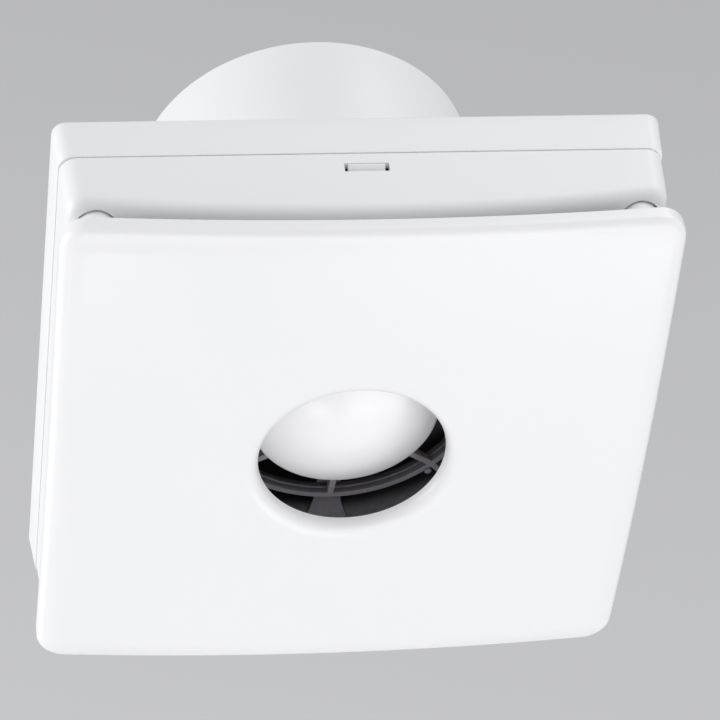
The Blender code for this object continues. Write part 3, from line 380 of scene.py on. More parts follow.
def sheet_metal(name, light, dark, gloss, stretch=(1, 1, 1)):
    """Plated or rolled metal: cloudy tone and fine scratches along one axis."""
    made, tree, shader = new_material(name)
    clouds = noise(tree, 4 * MM, 4.0)
    tree.links.new(two_colours(tree, clouds, dark, light), shader.inputs["Base Color"])
    scratches = noise(tree, 0.5 * MM, 4.0, 0.7, stretch)
    tree.links.new(spread(tree, scratches, *gloss), shader.inputs["Roughness"])
    bumps(tree, shader, [(scratches, 0.25, 0.02 * MM)])
    shader.inputs["Metallic"].default_value = 1.0
    return made


def laminated_steel(name):
    """Stamped sheets in a pack: an edge line for each sheet along Y and bluish oxide clouds."""
    made, tree, shader = new_material(name)
    clouds = noise(tree, 5 * MM, 4.0, 0.6)
    colour = two_colours(tree, clouds, (0.16, 0.17, 0.2), (0.4, 0.4, 0.4))
    tree.links.new(colour, shader.inputs["Base Color"])
    tree.links.new(spread(tree, noise(tree, 1 * MM), 0.35, 0.6), shader.inputs["Roughness"])
    sheets = bands(tree, 0.5 * MM, "Y")
    bumps(tree, shader, [(sheets, 0.7, 0.1 * MM), (clouds, 0.2, 0.05 * MM)])
    shader.inputs["Metallic"].default_value = 1.0
    return made


def wound_copper(name):
    """Varnished wire in level turns about the Z axis of the coil."""
    made, tree, shader = new_material(name)
    turns = bands(tree, 0.42 * MM, "Z", 0.35)
    varnish = noise(tree, 3 * MM, 3.0)
    colour = two_colours(tree, varnish, (0.36, 0.11, 0.04), (0.66, 0.27, 0.1))
    tree.links.new(colour, shader.inputs["Base Color"])
    tree.links.new(spread(tree, varnish, 0.22, 0.42), shader.inputs["Roughness"])
    bumps(tree, shader, [(turns, 0.9, 0.2 * MM)])
    shader.inputs["Metallic"].default_value = 0.85
    shader.inputs["Coat Weight"].default_value = 0.4
    return made


MATERIALS = {
    "gloss_white": moulded_plastic(
        "panel_gloss_white",
        (0.884, 0.886, 0.9),
        (0.876, 0.878, 0.892),
        (0.285, 0.31),
        (0.8 * MM, 0.03),
        coat=0.15,
    ),
    "white_abs": moulded_plastic(
        "shell_white_abs", (0.858, 0.864, 0.874), (0.85, 0.855, 0.867), (0.36, 0.42), (0.5 * MM, 0.08)
    ),
    # The dome's white is made lighter than the other whites so it looks evenly lit inside the hole:
    # painted light.
    "dome_white": moulded_plastic(
        "dome_gloss_white",
        (0.965, 0.96, 0.975),
        (0.96, 0.955, 0.97),
        (0.22, 0.26),
        (0.9 * MM, 0.02),
        coat=0.2,
    ),
    # Frame and guard: painted light at the front and painted shade deeper in, with dust specks.
    "dark_grey_abs": dust_and_painted_shade_plastic(
        "frame_dark_grey_abs", (0.02, 0.019, 0.022), (0.44, 0.42, 0.465), FRAME_DUST_AND_SHADE, (0.36, 0.5)
    ),
    "guard_grey_abs": dust_and_painted_shade_plastic(
        "guard_dark_grey_abs", (0.07, 0.066, 0.076), (0.52, 0.497, 0.55), GUARD_DUST_AND_SHADE, (0.34, 0.48)
    ),
    "impeller_abs": moulded_plastic(
        "impeller_charcoal_abs",
        (0.03, 0.03, 0.034),
        (0.024, 0.024, 0.027),
        (0.3, 0.42),
        (0.4 * MM, 0.25),
    ),
    "lamination_steel": laminated_steel("motor_laminations"),
    "plated_steel": sheet_metal(
        "zinc_plated_steel", (0.72, 0.72, 0.7), (0.55, 0.55, 0.52), (0.2, 0.38), (1, 1, 6)
    ),
    "sintered_bronze": sheet_metal(
        "oiled_sintered_bronze", (0.5, 0.34, 0.16), (0.32, 0.2, 0.09), (0.35, 0.6)
    ),
    "winding_copper": wound_copper("varnished_winding"),
    "bobbin_nylon": moulded_plastic(
        "bobbin_natural_nylon", (0.78, 0.75, 0.66), (0.7, 0.67, 0.57), (0.4, 0.55), (0.4 * MM, 0.2)
    ),
    "terminal_nylon": moulded_plastic(
        "terminal_white_nylon", (0.76, 0.75, 0.7), (0.7, 0.69, 0.62), (0.38, 0.5), (0.4 * MM, 0.2)
    ),
    "brass": sheet_metal("terminal_brass", (0.76, 0.58, 0.26), (0.6, 0.43, 0.17), (0.2, 0.4)),
    "grommet_rubber": moulded_plastic(
        "black_rubber", (0.035, 0.035, 0.036), (0.022, 0.022, 0.023), (0.6, 0.85), (0.3 * MM, 0.5)
    ),
    "red_pvc": moulded_plastic(
        "red_wire_pvc", (0.56, 0.035, 0.025), (0.44, 0.022, 0.018), (0.3, 0.45), (0.3 * MM, 0.15)
    ),
    "blue_pvc": moulded_plastic(
        "blue_wire_pvc", (0.035, 0.1, 0.44), (0.024, 0.07, 0.34), (0.3, 0.45), (0.3 * MM, 0.15)
    ),
}


# ------------------------------------------------------------ mesh building


def finish_piece(name, shape, slot=None, smooth=True):
    """Turns a bmesh into an object with outward faces and the slot's material."""
    bmesh.ops.recalc_face_normals(shape, faces=shape.faces)
    mesh = bpy.data.meshes.new(name)
    shape.to_mesh(mesh)
    shape.free()
    made = bpy.data.objects.new(name, mesh)
    bpy.context.scene.collection.objects.link(made)
    if slot:
        mesh.materials.append(MATERIALS[slot])
    if smooth:
        mesh.shade_smooth()
        mesh.set_sharp_from_angle(angle=SMOOTH_ANGLE)
    return made


def combine(target, tools, operation):
    for tool in tools:
        modifier = target.modifiers.new("combine", "BOOLEAN")
        modifier.operation = operation
        modifier.solver = "EXACT"
        modifier.object = tool
        bpy.context.view_layer.update()
        graph = bpy.context.evaluated_depsgraph_get()
        result = bpy.data.meshes.new_from_object(target.evaluated_get(graph))
        target.modifiers.clear()
        spent = target.data
        target.data = result
        bpy.data.meshes.remove(spent)
        bpy.data.objects.remove(tool, do_unlink=True)
    target.data.shade_smooth()
    target.data.set_sharp_from_angle(angle=SMOOTH_ANGLE)
    return target


def join(target, tools):
    return combine(target, tools, "UNION")


def cut(target, tools):
    return combine(target, tools, "DIFFERENCE")


def merged(tools):
    """Several separate solids as one object, to unite or cut in one step."""
    shape = bmesh.new()
    for tool in tools:
        shape.from_mesh(tool.data)
        bpy.data.objects.remove(tool, do_unlink=True)
    return finish_piece("merged", shape)


def rounded_square(half, corner):
    """Points (x, z) round a rounded square. Any two such rings have matching points."""
    corner = max(corner, 0.3 * MM)
    flat = half - corner
    side = [-flat]
    side += [half * math.tan(SIDE_ANGLE * step) for step in range(-SIDE_STEPS, SIDE_STEPS + 1)]
    side.append(flat)
    arc = [math.pi / 2 * step / CORNER_STEPS for step in range(1, CORNER_STEPS)]
    first = [(half, z) for z in side]
    first += [(flat + corner * math.cos(angle), flat + corner * math.sin(angle)) for angle in arc]
    points = []
    for quarter in range(4):
        turn = quarter * math.pi / 2
        for x, z in first:
            points.append(
                (x * math.cos(turn) - z * math.sin(turn), x * math.sin(turn) + z * math.cos(turn))
            )
    return points


def circle_facing(radius, ring):
    """Points on a circle, each in the direction of the matching point of a ring."""
    return [(radius * x / math.hypot(x, z), radius * z / math.hypot(x, z)) for x, z in ring]


def between(inner, outer, share):
    return [
        (a[0] + (b[0] - a[0]) * share, a[1] + (b[1] - a[1]) * share)
        for a, b in zip(inner, outer)
    ]


def lifted(ring, y):
    return [(x, y, z) for x, z in ring]


def closed_loops(name, loops, slot):
    """A ring-shaped solid: loops of points, each joined to the next and the last to the first."""
    shape = bmesh.new()
    rows = [[shape.verts.new(point) for point in loop] for loop in loops]
    count = len(rows[0])
    for number, row in enumerate(rows):
        following = rows[(number + 1) % len(rows)]
        for step in range(count):
            after = (step + 1) % count
            shape.faces.new((row[step], row[after], following[after], following[step]))
    return finish_piece(name, shape, slot)


def extruded(near, far):
    """A solid between two matching outlines."""
    shape = bmesh.new()
    near = [shape.verts.new(point) for point in near]
    far = [shape.verts.new(point) for point in far]
    shape.faces.new(near)
    shape.faces.new(list(reversed(far)))
    for step in range(len(near)):
        after = (step + 1) % len(near)
        shape.faces.new((near[step], near[after], far[after], far[step]))
    return shape


def softened(profile, steps=5, ring=False):
    """Rounds the corners of an outline whose points are (a, b) or (a, b, radius)."""
    points = []
    count = len(profile)
    for number, corner in enumerate(profile):
        if len(corner) == 2 or (not ring and number in (0, count - 1)):
            points.append((corner[0], corner[1]))
            continue
        here = Vector(corner[:2])
        before = Vector(profile[number - 1][:2]) - here
        after = Vector(profile[(number + 1) % count][:2]) - here
        half = before.angle(after) / 2
        reach = min(corner[2] / math.tan(half), before.length * 0.49, after.length * 0.49)
        radius = reach * math.tan(half)
        first = before.normalized()
        second = after.normalized()
        centre = here + (first + second).normalized() * (radius / math.sin(half))
        start = here + first * reach - centre
        sweep = start.angle_signed(here + second * reach - centre)
        for step in range(steps + 1):
            spoke = start.copy()
            spoke.rotate(Matrix.Rotation(-sweep * step / steps, 2))
            points.append(tuple(centre + spoke))
    return points


def turned(name, profile, slot=None, centre=(0, 0), steps=ROUND_STEPS, soft=True):
    """A solid turned about an axis along Y through centre, from (radius, y[, rounding]) points."""
    on_axis = profile[0][0] < 1e-7
    outline = softened(profile, ring=not on_axis) if soft else profile
    shape = bmesh.new()
    rows = []
    for radius, y in outline:
        if radius < 1e-7:
            rows.append([shape.verts.new((centre[0], y, centre[1]))])
            continue
        row = []
        for step in range(steps):
            angle = 2 * math.pi * step / steps
            x = centre[0] + radius * math.cos(angle)
            z = centre[1] + radius * math.sin(angle)
            row.append(shape.verts.new((x, y, z)))
        rows.append(row)
    pairs = list(zip(rows, rows[1:]))
    if not on_axis:
        pairs.append((rows[-1], rows[0]))
    for first, second in pairs:
        for step in range(steps):
            after = (step + 1) % steps
            if len(first) == 1:
                shape.faces.new((first[0], second[after], second[step]))
            elif len(second) == 1:
                shape.faces.new((first[step], first[after], second[0]))
            else:
                shape.faces.new((first[step], first[after], second[after], second[step]))
    return finish_piece(name, shape, slot)


def rod(radius, front, back, centre=(0, 0), steps=48, rounding=0.0):
    profile = [(0, front), (radius, front, rounding), (radius, back, rounding), (0, back)]
    if not rounding:
        profile = [point[:2] for point in profile]
    return turned("rod", profile, None, centre, steps)


def block(low, high, turn=0.0, rounding=0.0, name="block", slot=None):
    """A box between two corners with rounded edges, turned about the Y axis."""
    shape = bmesh.new()
    bmesh.ops.create_cube(shape, size=1.0)
    low = Vector(low)
    high = Vector(high)
    for vertex in shape.verts:
        for axis in range(3):
            middle = (high[axis] + low[axis]) / 2
            vertex.co[axis] = middle + vertex.co[axis] * (high[axis] - low[axis])
    if rounding:
        bmesh.ops.bevel(
            shape, geom=list(shape.edges), offset=rounding, segments=3, profile=0.5, affect="EDGES"
        )
    shape.transform(Matrix.Rotation(-turn, 4, "Y"))
    return finish_piece(name, shape, slot)


def corners(offset):
    """The four places (x, z) at the corners of a square, anticlockwise from the lower right."""
    return [(offset, -offset), (offset, offset), (-offset, offset), (-offset, -offset)]


def stands_for(piece, node, body):
    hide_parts(node)
    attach(piece, body)


# ------------------------------------------------------------------ pieces


def panel_face(x, z):
    """How far along Y the panel's domed face is at (x, z)."""
    return PANEL_APEX + PANEL_RISE * ((x / PANEL_HALF) ** 2 + (z / PANEL_HALF) ** 2)


def on_face(ring, depth, guide=None):
    return [(x, panel_face(*at) + depth, z) for (x, z), at in zip(ring, guide or ring)]


def make_front_panel():
    rim = rounded_square(PANEL_HALF, PANEL_CORNER)
    shoulder = rounded_square(PANEL_HALF - PANEL_ROLL, PANEL_CORNER - PANEL_ROLL)
    lip = circle_facing(HOLE_LIP_RADIUS, rim)
    loops = []
    lip_face = panel_face(HOLE_LIP_RADIUS, 0)
    lip_depth = HOLE_BACK - lip_face
    lip_reach = HOLE_LIP_RADIUS - HOLE_RADIUS
    for step in range(13):
        angle = math.pi / 2 * step / 12
        radius = HOLE_LIP_RADIUS - lip_reach * math.cos(angle)
        y = lip_face + lip_depth * (1 - math.sin(angle) ** 0.85)
        loops.append(lifted(circle_facing(radius, rim), y))
    for step in range(1, 13):
        share = step / 12
        ring = between(lip, shoulder, share)
        loops.append(on_face(ring, 0.05 * MM * math.sin(math.pi * share)))
    for step in range(1, 9):
        angle = math.pi / 2 * step / 8
        inset = PANEL_ROLL * (1 - math.sin(angle))
        ring = rounded_square(PANEL_HALF - inset, PANEL_CORNER - inset)
        loops.append(on_face(ring, PANEL_ROLL * 0.86 * (1 - math.cos(angle)), rim))
    edge = rounded_square(PANEL_HALF - 0.3 * MM, PANEL_CORNER - 0.3 * MM)
    inner = rounded_square(PANEL_HALF - PANEL_SKIN, PANEL_CORNER - PANEL_SKIN)
    loops.append(on_face(rim, PANEL_RIM_DEPTH - 0.3 * MM, rim))
    loops.append(on_face(edge, PANEL_RIM_DEPTH, rim))
    loops.append(on_face(inner, PANEL_RIM_DEPTH, rim))
    loops.append(on_face(inner, PANEL_SKIN * 1.8, rim))
    inside = rounded_square(PANEL_HALF - 2 * PANEL_SKIN, PANEL_CORNER - 2 * PANEL_SKIN)
    collar = circle_facing(HOLE_LIP_RADIUS - 1 * MM, rim)
    for step in range(9):
        loops.append(on_face(between(inside, collar, step / 8), PANEL_SKIN))
    loops.append(lifted(circle_facing(HOLE_RADIUS + 1.6 * MM, rim), HOLE_BACK))
    panel = closed_loops("fascia_panel", loops, "gloss_white")
    posts = []
    for x, z in corners(POST_OFFSET):
        front = panel_face(x, z) + PANEL_SKIN / 2
        profile = [
            (0, front),
            (POST_FOOT_RADIUS, front),
            (POST_FOOT_RADIUS, front + 1.6 * MM),
            (POST_RADIUS, front + 3.6 * MM, 1.5 * MM),
            (POST_RADIUS, panel_high.y, 1 * MM),
            (0, panel_high.y),
        ]
        posts.append(turned("post", profile, None, (x, z), 64))
        for turn in (math.pi / 4, -math.pi / 4):
            low = (-POST_RIB_REACH, front, -POST_RIB_HALF)
            high = (POST_RIB_REACH, front + 3.4 * MM, POST_RIB_HALF)
            brace = block(low, high, turn)
            brace.data.transform(Matrix.Translation((x, 0, z)))
            posts.append(brace)
    join(panel, posts)
    stands_for(panel, "front_panel", "panel")


def cover_dip(x, z):
    """How far the cover's rim falls back at (x, z): nothing mid-side, the most in a corner."""
    reach = (x / COVER_BACK_HALF) ** 2 + (z / COVER_BACK_HALF) ** 2
    return COVER_CORNER_DROP * (reach - 1)


def make_front_cover():
    guide = rounded_square(COVER_FRONT_HALF, COVER_CORNER)
    dips = [cover_dip(x, z) for x, z in guide]
    roll_start = COVER_CREST + COVER_ROLL

    def bent(ring, y, share=1.0):
        return [(x, y + dip * share, z) for (x, z), dip in zip(ring, dips)]

    def blended(share, front, inner, outer):
        fall = share * share * (3 - 2 * share)
        y = front + (INTAKE_LIP - COVER_CREST) * fall
        return bent(between(outer, inner, share), y, 1 - fall)

    rounding = 0.15 * MM
    loops = [
        lifted(rounded_square(COVER_BACK_HALF - rounding, COVER_CORNER), COVER_BACK),
        lifted(rounded_square(COVER_BACK_HALF, COVER_CORNER), COVER_BACK - rounding),
    ]
    back_ring = rounded_square(COVER_BACK_HALF, COVER_CORNER)
    for step in range(1, 5):
        share = step / 5
        ring = between(back_ring, guide, share)
        y = COVER_BACK + (roll_start - COVER_BACK) * share
        loops.append(bent(ring, y, share * share))
    for step in range(11):
        angle = math.pi / 2 * step / 10
        inset = COVER_ROLL * (1 - math.cos(angle))
        ring = rounded_square(COVER_FRONT_HALF - inset, COVER_CORNER - inset * 0.5)
        loops.append(bent(ring, roll_start - COVER_ROLL * math.sin(angle)))
    crest_ring = rounded_square(COVER_FRONT_HALF - COVER_ROLL, COVER_CORNER - COVER_ROLL * 0.5)
    intake = circle_facing(INTAKE_RADIUS, guide)
    for step in range(1, 15):
        loops.append(blended(step / 14, COVER_CREST, intake, crest_ring))
    lip_back = INTAKE_LIP + COVER_SKIN
    loops.append(lifted(circle_facing(INTAKE_RADIUS - 0.4 * MM, guide), INTAKE_LIP + 0.5 * MM))
    loops.append(lifted(circle_facing(INTAKE_RADIUS - 0.4 * MM, guide), lip_back - 0.4 * MM))
    inner_lip = circle_facing(INTAKE_RADIUS + 1 * MM, guide)
    for step in range(12, -1, -1):
        loops.append(blended(step / 12, COVER_CREST + COVER_SKIN, inner_lip, crest_ring))
    inner_half = COVER_FRONT_HALF - COVER_SKIN
    loops.append(bent(rounded_square(inner_half, COVER_CORNER - COVER_SKIN), roll_start))
    back_half = COVER_BACK_HALF - COVER_SKIN
    loops.append(lifted(rounded_square(back_half, COVER_CORNER - COVER_SKIN), COVER_BACK))
    cover = closed_loops("surround_cover", loops, "white_abs")
    cups = []
    bores = []
    for place in corners(POST_OFFSET):
        cups.append(rod(SOCKET_RADIUS + 1 * MM, SOCKET_TOP, SOCKET_FLOOR, place, 64))
        bores.append(rod(SOCKET_RADIUS, COVER_CREST - 1 * MM, SOCKET_FLOOR - 1 * MM, place, 64))
    join(cover, [merged(cups)])
    for side in (-1, 1):
        inner_edge = side * (back_half - 4 * MM)
        outer_edge = side * (COVER_BACK_HALF + 4 * MM)
        low = (-WINDOW_HALF_WIDTH, WINDOW_FRONT, min(inner_edge, outer_edge))
        high = (WINDOW_HALF_WIDTH, WINDOW_BACK, max(inner_edge, outer_edge))
        bores.append(block(low, high))
    cut(cover, [merged(bores)])
    stands_for(cover, "front_cover", "housing")


def make_latch(node, body, side):
    """A springy tongue whose wedge stands in the cover's window: side is 1 at the top, -1 below."""
    low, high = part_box(node)
    root, tip = high.y, low.y
    outer, inner = TONGUE_OUTER, TONGUE_INNER
    foot = TONGUE_FOOT
    wedge_back = WINDOW_BACK - 0.12 * MM
    wedge_front = WINDOW_FRONT + 0.25 * MM
    outline = [
        (root, inner - foot),
        (root, outer),
        (wedge_back, outer),
        (wedge_back, WEDGE_TOP - 0.05 * MM),
        (wedge_back - 0.5 * MM, WEDGE_TOP),
        (wedge_front, outer + 1 * MM),
        (wedge_front, outer),
        (tip, outer - 0.4 * MM),
        (tip, inner),
        (root - 3.5 * MM, inner, 1 * MM),
        (root - 2.4 * MM, inner - foot, 0.6 * MM),
    ]
    outline = softened(outline, 4, ring=True)
    near = [(low.x, y, side * z) for y, z in outline]
    far = [(high.x, y, side * z) for y, z in outline]
    shape = extruded(near, far)
    latch = finish_piece(node + "_tongue", shape, "white_abs")
    edges = latch.modifiers.new("edges", "BEVEL")
    edges.width = 0.15 * MM
    edges.segments = 2
    edges.limit_method = "ANGLE"
    stands_for(latch, node, body)


def make_rear_housing():
    guide = rounded_square(HOUSING_HALF, HOUSING_CORNER)
    inner_corner = HOUSING_CORNER - HOUSING_WALL

    def circle(radius, y):
        return lifted(circle_facing(radius, guide), y)

    def square(half, corner, y):
        return lifted(rounded_square(half, corner), y)

    bore = DUCT_RADIUS - SPIGOT_WALL
    fillet = SPIGOT_FILLET
    loops = [circle(bore, SPIGOT_END), circle(DUCT_RADIUS - SPIGOT_EDGE, SPIGOT_END)]
    for step in range(1, 5):
        angle = math.pi / 2 * step / 4
        inset = SPIGOT_EDGE * (1 - math.sin(angle))
        loops.append(circle(DUCT_RADIUS - inset, SPIGOT_END - SPIGOT_EDGE * (1 - math.cos(angle))))
    loops += [circle(DUCT_RADIUS, SPIGOT_END * share) for share in (0.75, 0.5, 0.25)]
    for step in range(5):
        angle = math.pi / 2 * step / 4
        outset = fillet * (1 - math.cos(angle))
        loops.append(circle(DUCT_RADIUS + outset, fillet * (1 - math.sin(angle))))
    for step in range(1, 4):
        ring = between(circle_facing(DUCT_RADIUS + fillet, guide), guide, step / 4)
        loops.append(lifted(ring, 0))
    for step in range(5):
        angle = math.pi / 2 * step / 4
        inset = 1 * MM * (1 - math.sin(angle))
        y = -1 * MM * (1 - math.cos(angle))
        loops.append(square(HOUSING_HALF - inset, HOUSING_CORNER - inset, y))
    for share in (0.33, 0.66, 0.96):
        half = HOUSING_HALF + (HOUSING_FRONT_HALF - HOUSING_HALF) * share
        loops.append(square(half, HOUSING_CORNER, PARTING * share))
    loops += [
        square(HOUSING_FRONT_HALF - 0.1 * MM, HOUSING_CORNER, PARTING),
        square(LIP_OUTER_HALF, LIP_CORNER, PARTING),
        square(LIP_OUTER_HALF, LIP_CORNER, LIP_FRONT),
        square(LIP_INNER_HALF, inner_corner, LIP_FRONT),
        square(LIP_INNER_HALF, inner_corner, PARTING + 3 * MM),
        square(HOUSING_FRONT_HALF - HOUSING_WALL, inner_corner, PARTING + 5 * MM),
        square(HOUSING_HALF - HOUSING_WALL, inner_corner, HOUSING_FLOOR),
        circle(COLLAR_RADIUS, HOUSING_FLOOR),
        circle(COLLAR_RADIUS, COLLAR_FRONT),
        circle(bore, COLLAR_FRONT),
    ]
    housing = closed_loops("duct_housing", loops, "white_abs")
    additions = []
    holes = []
    for place in corners(FRAME_SCREW_OFFSET):
        additions.append(rod(BOSS_RADIUS, BOSS_FRONT, HOUSING_FLOOR / 2, place))
        holes.append(rod(SCREW_HOLE_RADIUS, -11 * MM, -3.4 * MM, place, 24))
    clamp_low, clamp_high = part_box("cable_clamp")
    clamp_x, clamp_z = (clamp_low.x + clamp_high.x) / 2, (clamp_low.z + clamp_high.z) / 2
    for x in (-CLAMP_SCREW_OFFSET, CLAMP_SCREW_OFFSET):
        place = (clamp_x + x, clamp_z)
        additions.append(rod(2.8 * MM, clamp_high.y + 0.3 * MM, HOUSING_FLOOR / 2, place, 32))
        holes.append(rod(1.5 * MM, clamp_high.y - 1 * MM, -3 * MM, place, 24))
    for place in corners(WALL_HOLE_OFFSET):
        holes.append(rod(WALL_HOLE_RADIUS, -5 * MM, 3 * MM, place))
    grommet_low, grommet_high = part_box("cable_grommet")
    entry = ((grommet_low.x + grommet_high.x) / 2, (grommet_low.z + grommet_high.z) / 2)
    holes.append(rod(CABLE_ENTRY_RADIUS, -5 * MM, 3 * MM, entry, 64))
    notch_half = WINDOW_HALF_WIDTH + 0.5 * MM
    for side in (-1, 1):
        inner_edge = side * (LIP_INNER_HALF - 2 * MM)
        outer_edge = side * (LIP_OUTER_HALF + 0.1 * MM)
        low = (-notch_half, LIP_FRONT - 1 * MM, min(inner_edge, outer_edge))
        high = (notch_half, PARTING + 5.2 * MM, max(inner_edge, outer_edge))
        holes.append(block(low, high))
    join(housing, [merged(additions)])
    cut(housing, [merged(holes)])
    stands_for(housing, "rear_housing", "housing")


def frame_arm(turn):
    """An arm of the frame, with wide roots. Its front rises to the rim of the flare."""
    edge = softened([(*place, 4 * MM) for place in ARM_EDGE], 4)
    outline = edge + [(x, -half) for x, half in reversed(edge)]
    shape = extruded(lifted(outline, ARM_FRONT), lifted(outline, ARM_BACK))
    shape.verts.ensure_lookup_table()
    front = shape.verts[0].co.y
    rims = [line for line in shape.edges if line.verts[0].co.y == line.verts[1].co.y == front]
    bmesh.ops.bevel(shape, geom=rims, offset=1 * MM, segments=5, profile=0.5, affect="EDGES")
    middle = (ARM_FRONT + ARM_BACK) / 2
    for vertex in shape.verts:
        if vertex.co.y < middle:
            share = max(0, (vertex.co.x - ARM_RISE_START) / (ARM_EDGE[-1][0] - ARM_RISE_START))
            vertex.co.y -= ARM_RISE * share**1.5
    shape.transform(Matrix.Rotation(-turn, 4, "Y"))
    return finish_piece("arm", shape)


def make_fan_frame():
    sleeve_end = frame_high.y
    profile = [
        (SLEEVE_OUTER, sleeve_end, 0.4 * MM),
        (SLEEVE_OUTER, -9 * MM, 12 * MM),
        (50 * MM, -17.5 * MM, 12 * MM),
        (FLARE_OUTER, -21.6 * MM, 2 * MM),
        (FLARE_OUTER, frame_low.y, 0.5 * MM),
        (FLARE_INNER, frame_low.y, 0.4 * MM),
        (48.6 * MM, -18.4 * MM, 12 * MM),
        (SLEEVE_INNER, -9 * MM, 12 * MM),
        (SLEEVE_INNER, sleeve_end, 0.4 * MM),
    ]
    frame_piece = turned("motor_frame", profile, "dark_grey_abs")
    plate = [
        (PLATE_BORE, PLATE_FRONT, 0.3 * MM),
        (PLATE_RADIUS, PLATE_FRONT, 0.6 * MM),
        (PLATE_RADIUS, PLATE_BACK),
        (PLATE_BORE, PLATE_BACK),
    ]
    additions = [turned("plate", plate, None, steps=96)]
    holes = []
    for quarter in range(4):
        turn = quarter * math.pi / 2
        additions.append(frame_arm(turn))
        turn += math.pi / 4
        low = (SLEEVE_OUTER, LUG_FRONT, -LUG_HALF)
        additions.append(block(low, (LUG_END, LUG_BACK, LUG_HALF), turn, 0.5 * MM))
    for place in corners(FRAME_SCREW_OFFSET):
        holes.append(rod(SCREW_HOLE_RADIUS, -20 * MM, -5 * MM, place, 24))
    for side in (-1, 1):
        place = (0, side * MOTOR_SCREW_OFFSET)
        additions.append(rod(PILLAR_RADIUS, PLATE_BACK - 1 * MM, -10.2 * MM, place, 32))
        holes.append(rod(SCREW_HOLE_RADIUS, -30 * MM, 0, place, 24))
    for addition in additions:
        join(frame_piece, [addition])
    lead_hole = rod(LEAD_HOLE_RADIUS, 40 * MM, 62 * MM, steps=32)
    lead_hole.data.transform(Matrix.Rotation(math.radians(-90), 4, "Z"))
    lead_hole.data.transform(Matrix.Rotation(LEAD_HOLE_TURN, 4, "Y"))
    lead_hole.data.transform(Matrix.Translation((0, LEAD_HOLE_AT, 0)))
    cut(frame_piece, [merged(holes), lead_hole])
    stands_for(frame_piece, "fan_frame", "housing")


def rib(outline, turn):
    """A straight rib with softened edges from (radius, y) points, turned about the Y axis."""
    near = [(x, y, -RIB_WIDTH / 2) for x, y in outline]
    far = [(x, y, RIB_WIDTH / 2) for x, y in outline]
    shape = extruded(near, far)
    bmesh.ops.bevel(
        shape, geom=list(shape.edges), offset=0.35 * MM, segments=3, profile=0.5, affect="EDGES"
    )
    shape.transform(Matrix.Rotation(-turn, 4, "Y"))
    return finish_piece("rib", shape)


def make_inlet_guard():
    inner = RING_RADIUS - RING_WALL
    ledge = inner - 0.6 * MM
    ring_profile = [
        (RING_RADIUS, RING_FRONT, 0.25 * MM),
        (inner, RING_FRONT, 0.4 * MM),
        (inner, RING_LEDGE, 0.15 * MM),
        (ledge, RING_LEDGE, 0.15 * MM),
        (ledge, GUARD_BACK, 0.2 * MM),
        (RING_RADIUS, GUARD_BACK, 0.2 * MM),
    ]
    guard = turned("grille_guard", ring_profile, "guard_grey_abs")
    middle = inner + RING_WALL / 2
    foot = frame_low.y - 0.3 * MM
    end = OUTER_RIB_END
    inner_rib = [
        (GUARD_HUB_RADIUS - 1 * MM, GUARD_FRONT + 0.1 * MM),
        (GUARD_HUB_RADIUS + 1.5 * MM, GUARD_FRONT + 0.1 * MM),
        (middle, RING_FRONT + 0.1 * MM),
        (middle, RING_FRONT + 2 * MM),
        (GUARD_HUB_RADIUS - 1 * MM, GUARD_HUB_BACK - 0.1 * MM),
    ]
    outer_rib = [
        (middle, RING_FRONT + 0.1 * MM),
        (end, foot - 1.8 * MM),
        (end, foot),
        (end - 2.6 * MM, foot),
        (end - 4.6 * MM, foot + 1.8 * MM),
        (middle, foot + 1.8 * MM),
    ]
    additions = [rod(GUARD_HUB_RADIUS, GUARD_FRONT, GUARD_HUB_BACK, steps=96, rounding=0.5 * MM)]
    for number in range(RIB_COUNT):
        turn = 2 * math.pi * number / RIB_COUNT
        additions.append(rib(inner_rib, turn))
        if number % 2 == 0:
            continue
        additions.append(rib(outer_rib, turn))
        nub_turn = turn - NUB_TURN
        nub_centre = RING_RADIUS + NUB_OFFSET
        place = (nub_centre * math.cos(nub_turn), nub_centre * math.sin(nub_turn))
        nub_front = RING_FRONT - 0.5 * MM
        additions.append(rod(NUB_RADIUS, nub_front, nub_front + 2 * MM, place, 24, 0.4 * MM))
    for addition in additions:
        join(guard, [addition])
    stands_for(guard, "inlet_guard", "housing")


def crown_point(radius, thickness):
    """A point (radius, y) on the dome's crown, or inside it by a thickness."""
    arc = DOME_CROWN - DOME_EDGE
    centre = DOME_RIM + math.sqrt(arc**2 - (DOME_RADIUS - DOME_EDGE) ** 2)
    sphere = DOME_CROWN - thickness
    return (radius, centre - math.sqrt(sphere**2 - radius**2))


def make_dome_cap():
    """A shallow crown with a rounded edge, and the skirt that clips it to the guard's hub."""
    edge_centre = DOME_RADIUS - DOME_EDGE
    lean = math.asin(edge_centre / (DOME_CROWN - DOME_EDGE))
    crown_end = edge_centre + DOME_EDGE * math.sin(lean)
    profile = [crown_point(crown_end * step / 30, 0) for step in range(31)]
    for step in range(1, 13):
        angle = lean + (math.pi / 2 - lean) * step / 12
        radius = edge_centre + DOME_EDGE * math.sin(angle)
        profile.append((radius, DOME_RIM - DOME_EDGE * math.cos(angle)))
    rim_back = DOME_RIM + 0.7 * MM
    profile += [
        (DOME_RADIUS - 0.1 * MM, DOME_RIM + 0.35 * MM),
        (DOME_RADIUS - 0.3 * MM, DOME_RIM + 0.58 * MM),
        (DOME_RADIUS - 0.6 * MM, rim_back),
        (DOME_SKIRT_OUTER, rim_back),
        (DOME_SKIRT_OUTER, dome_high.y),
        (DOME_SKIRT_INNER, dome_high.y),
    ]
    profile += [crown_point(DOME_SKIRT_INNER * step / 20, DOME_SKIN) for step in range(20, -1, -1)]
    dome = turned("nose_dome", profile, "dome_white", soft=False)
    stands_for(dome, "dome_cap", "housing")


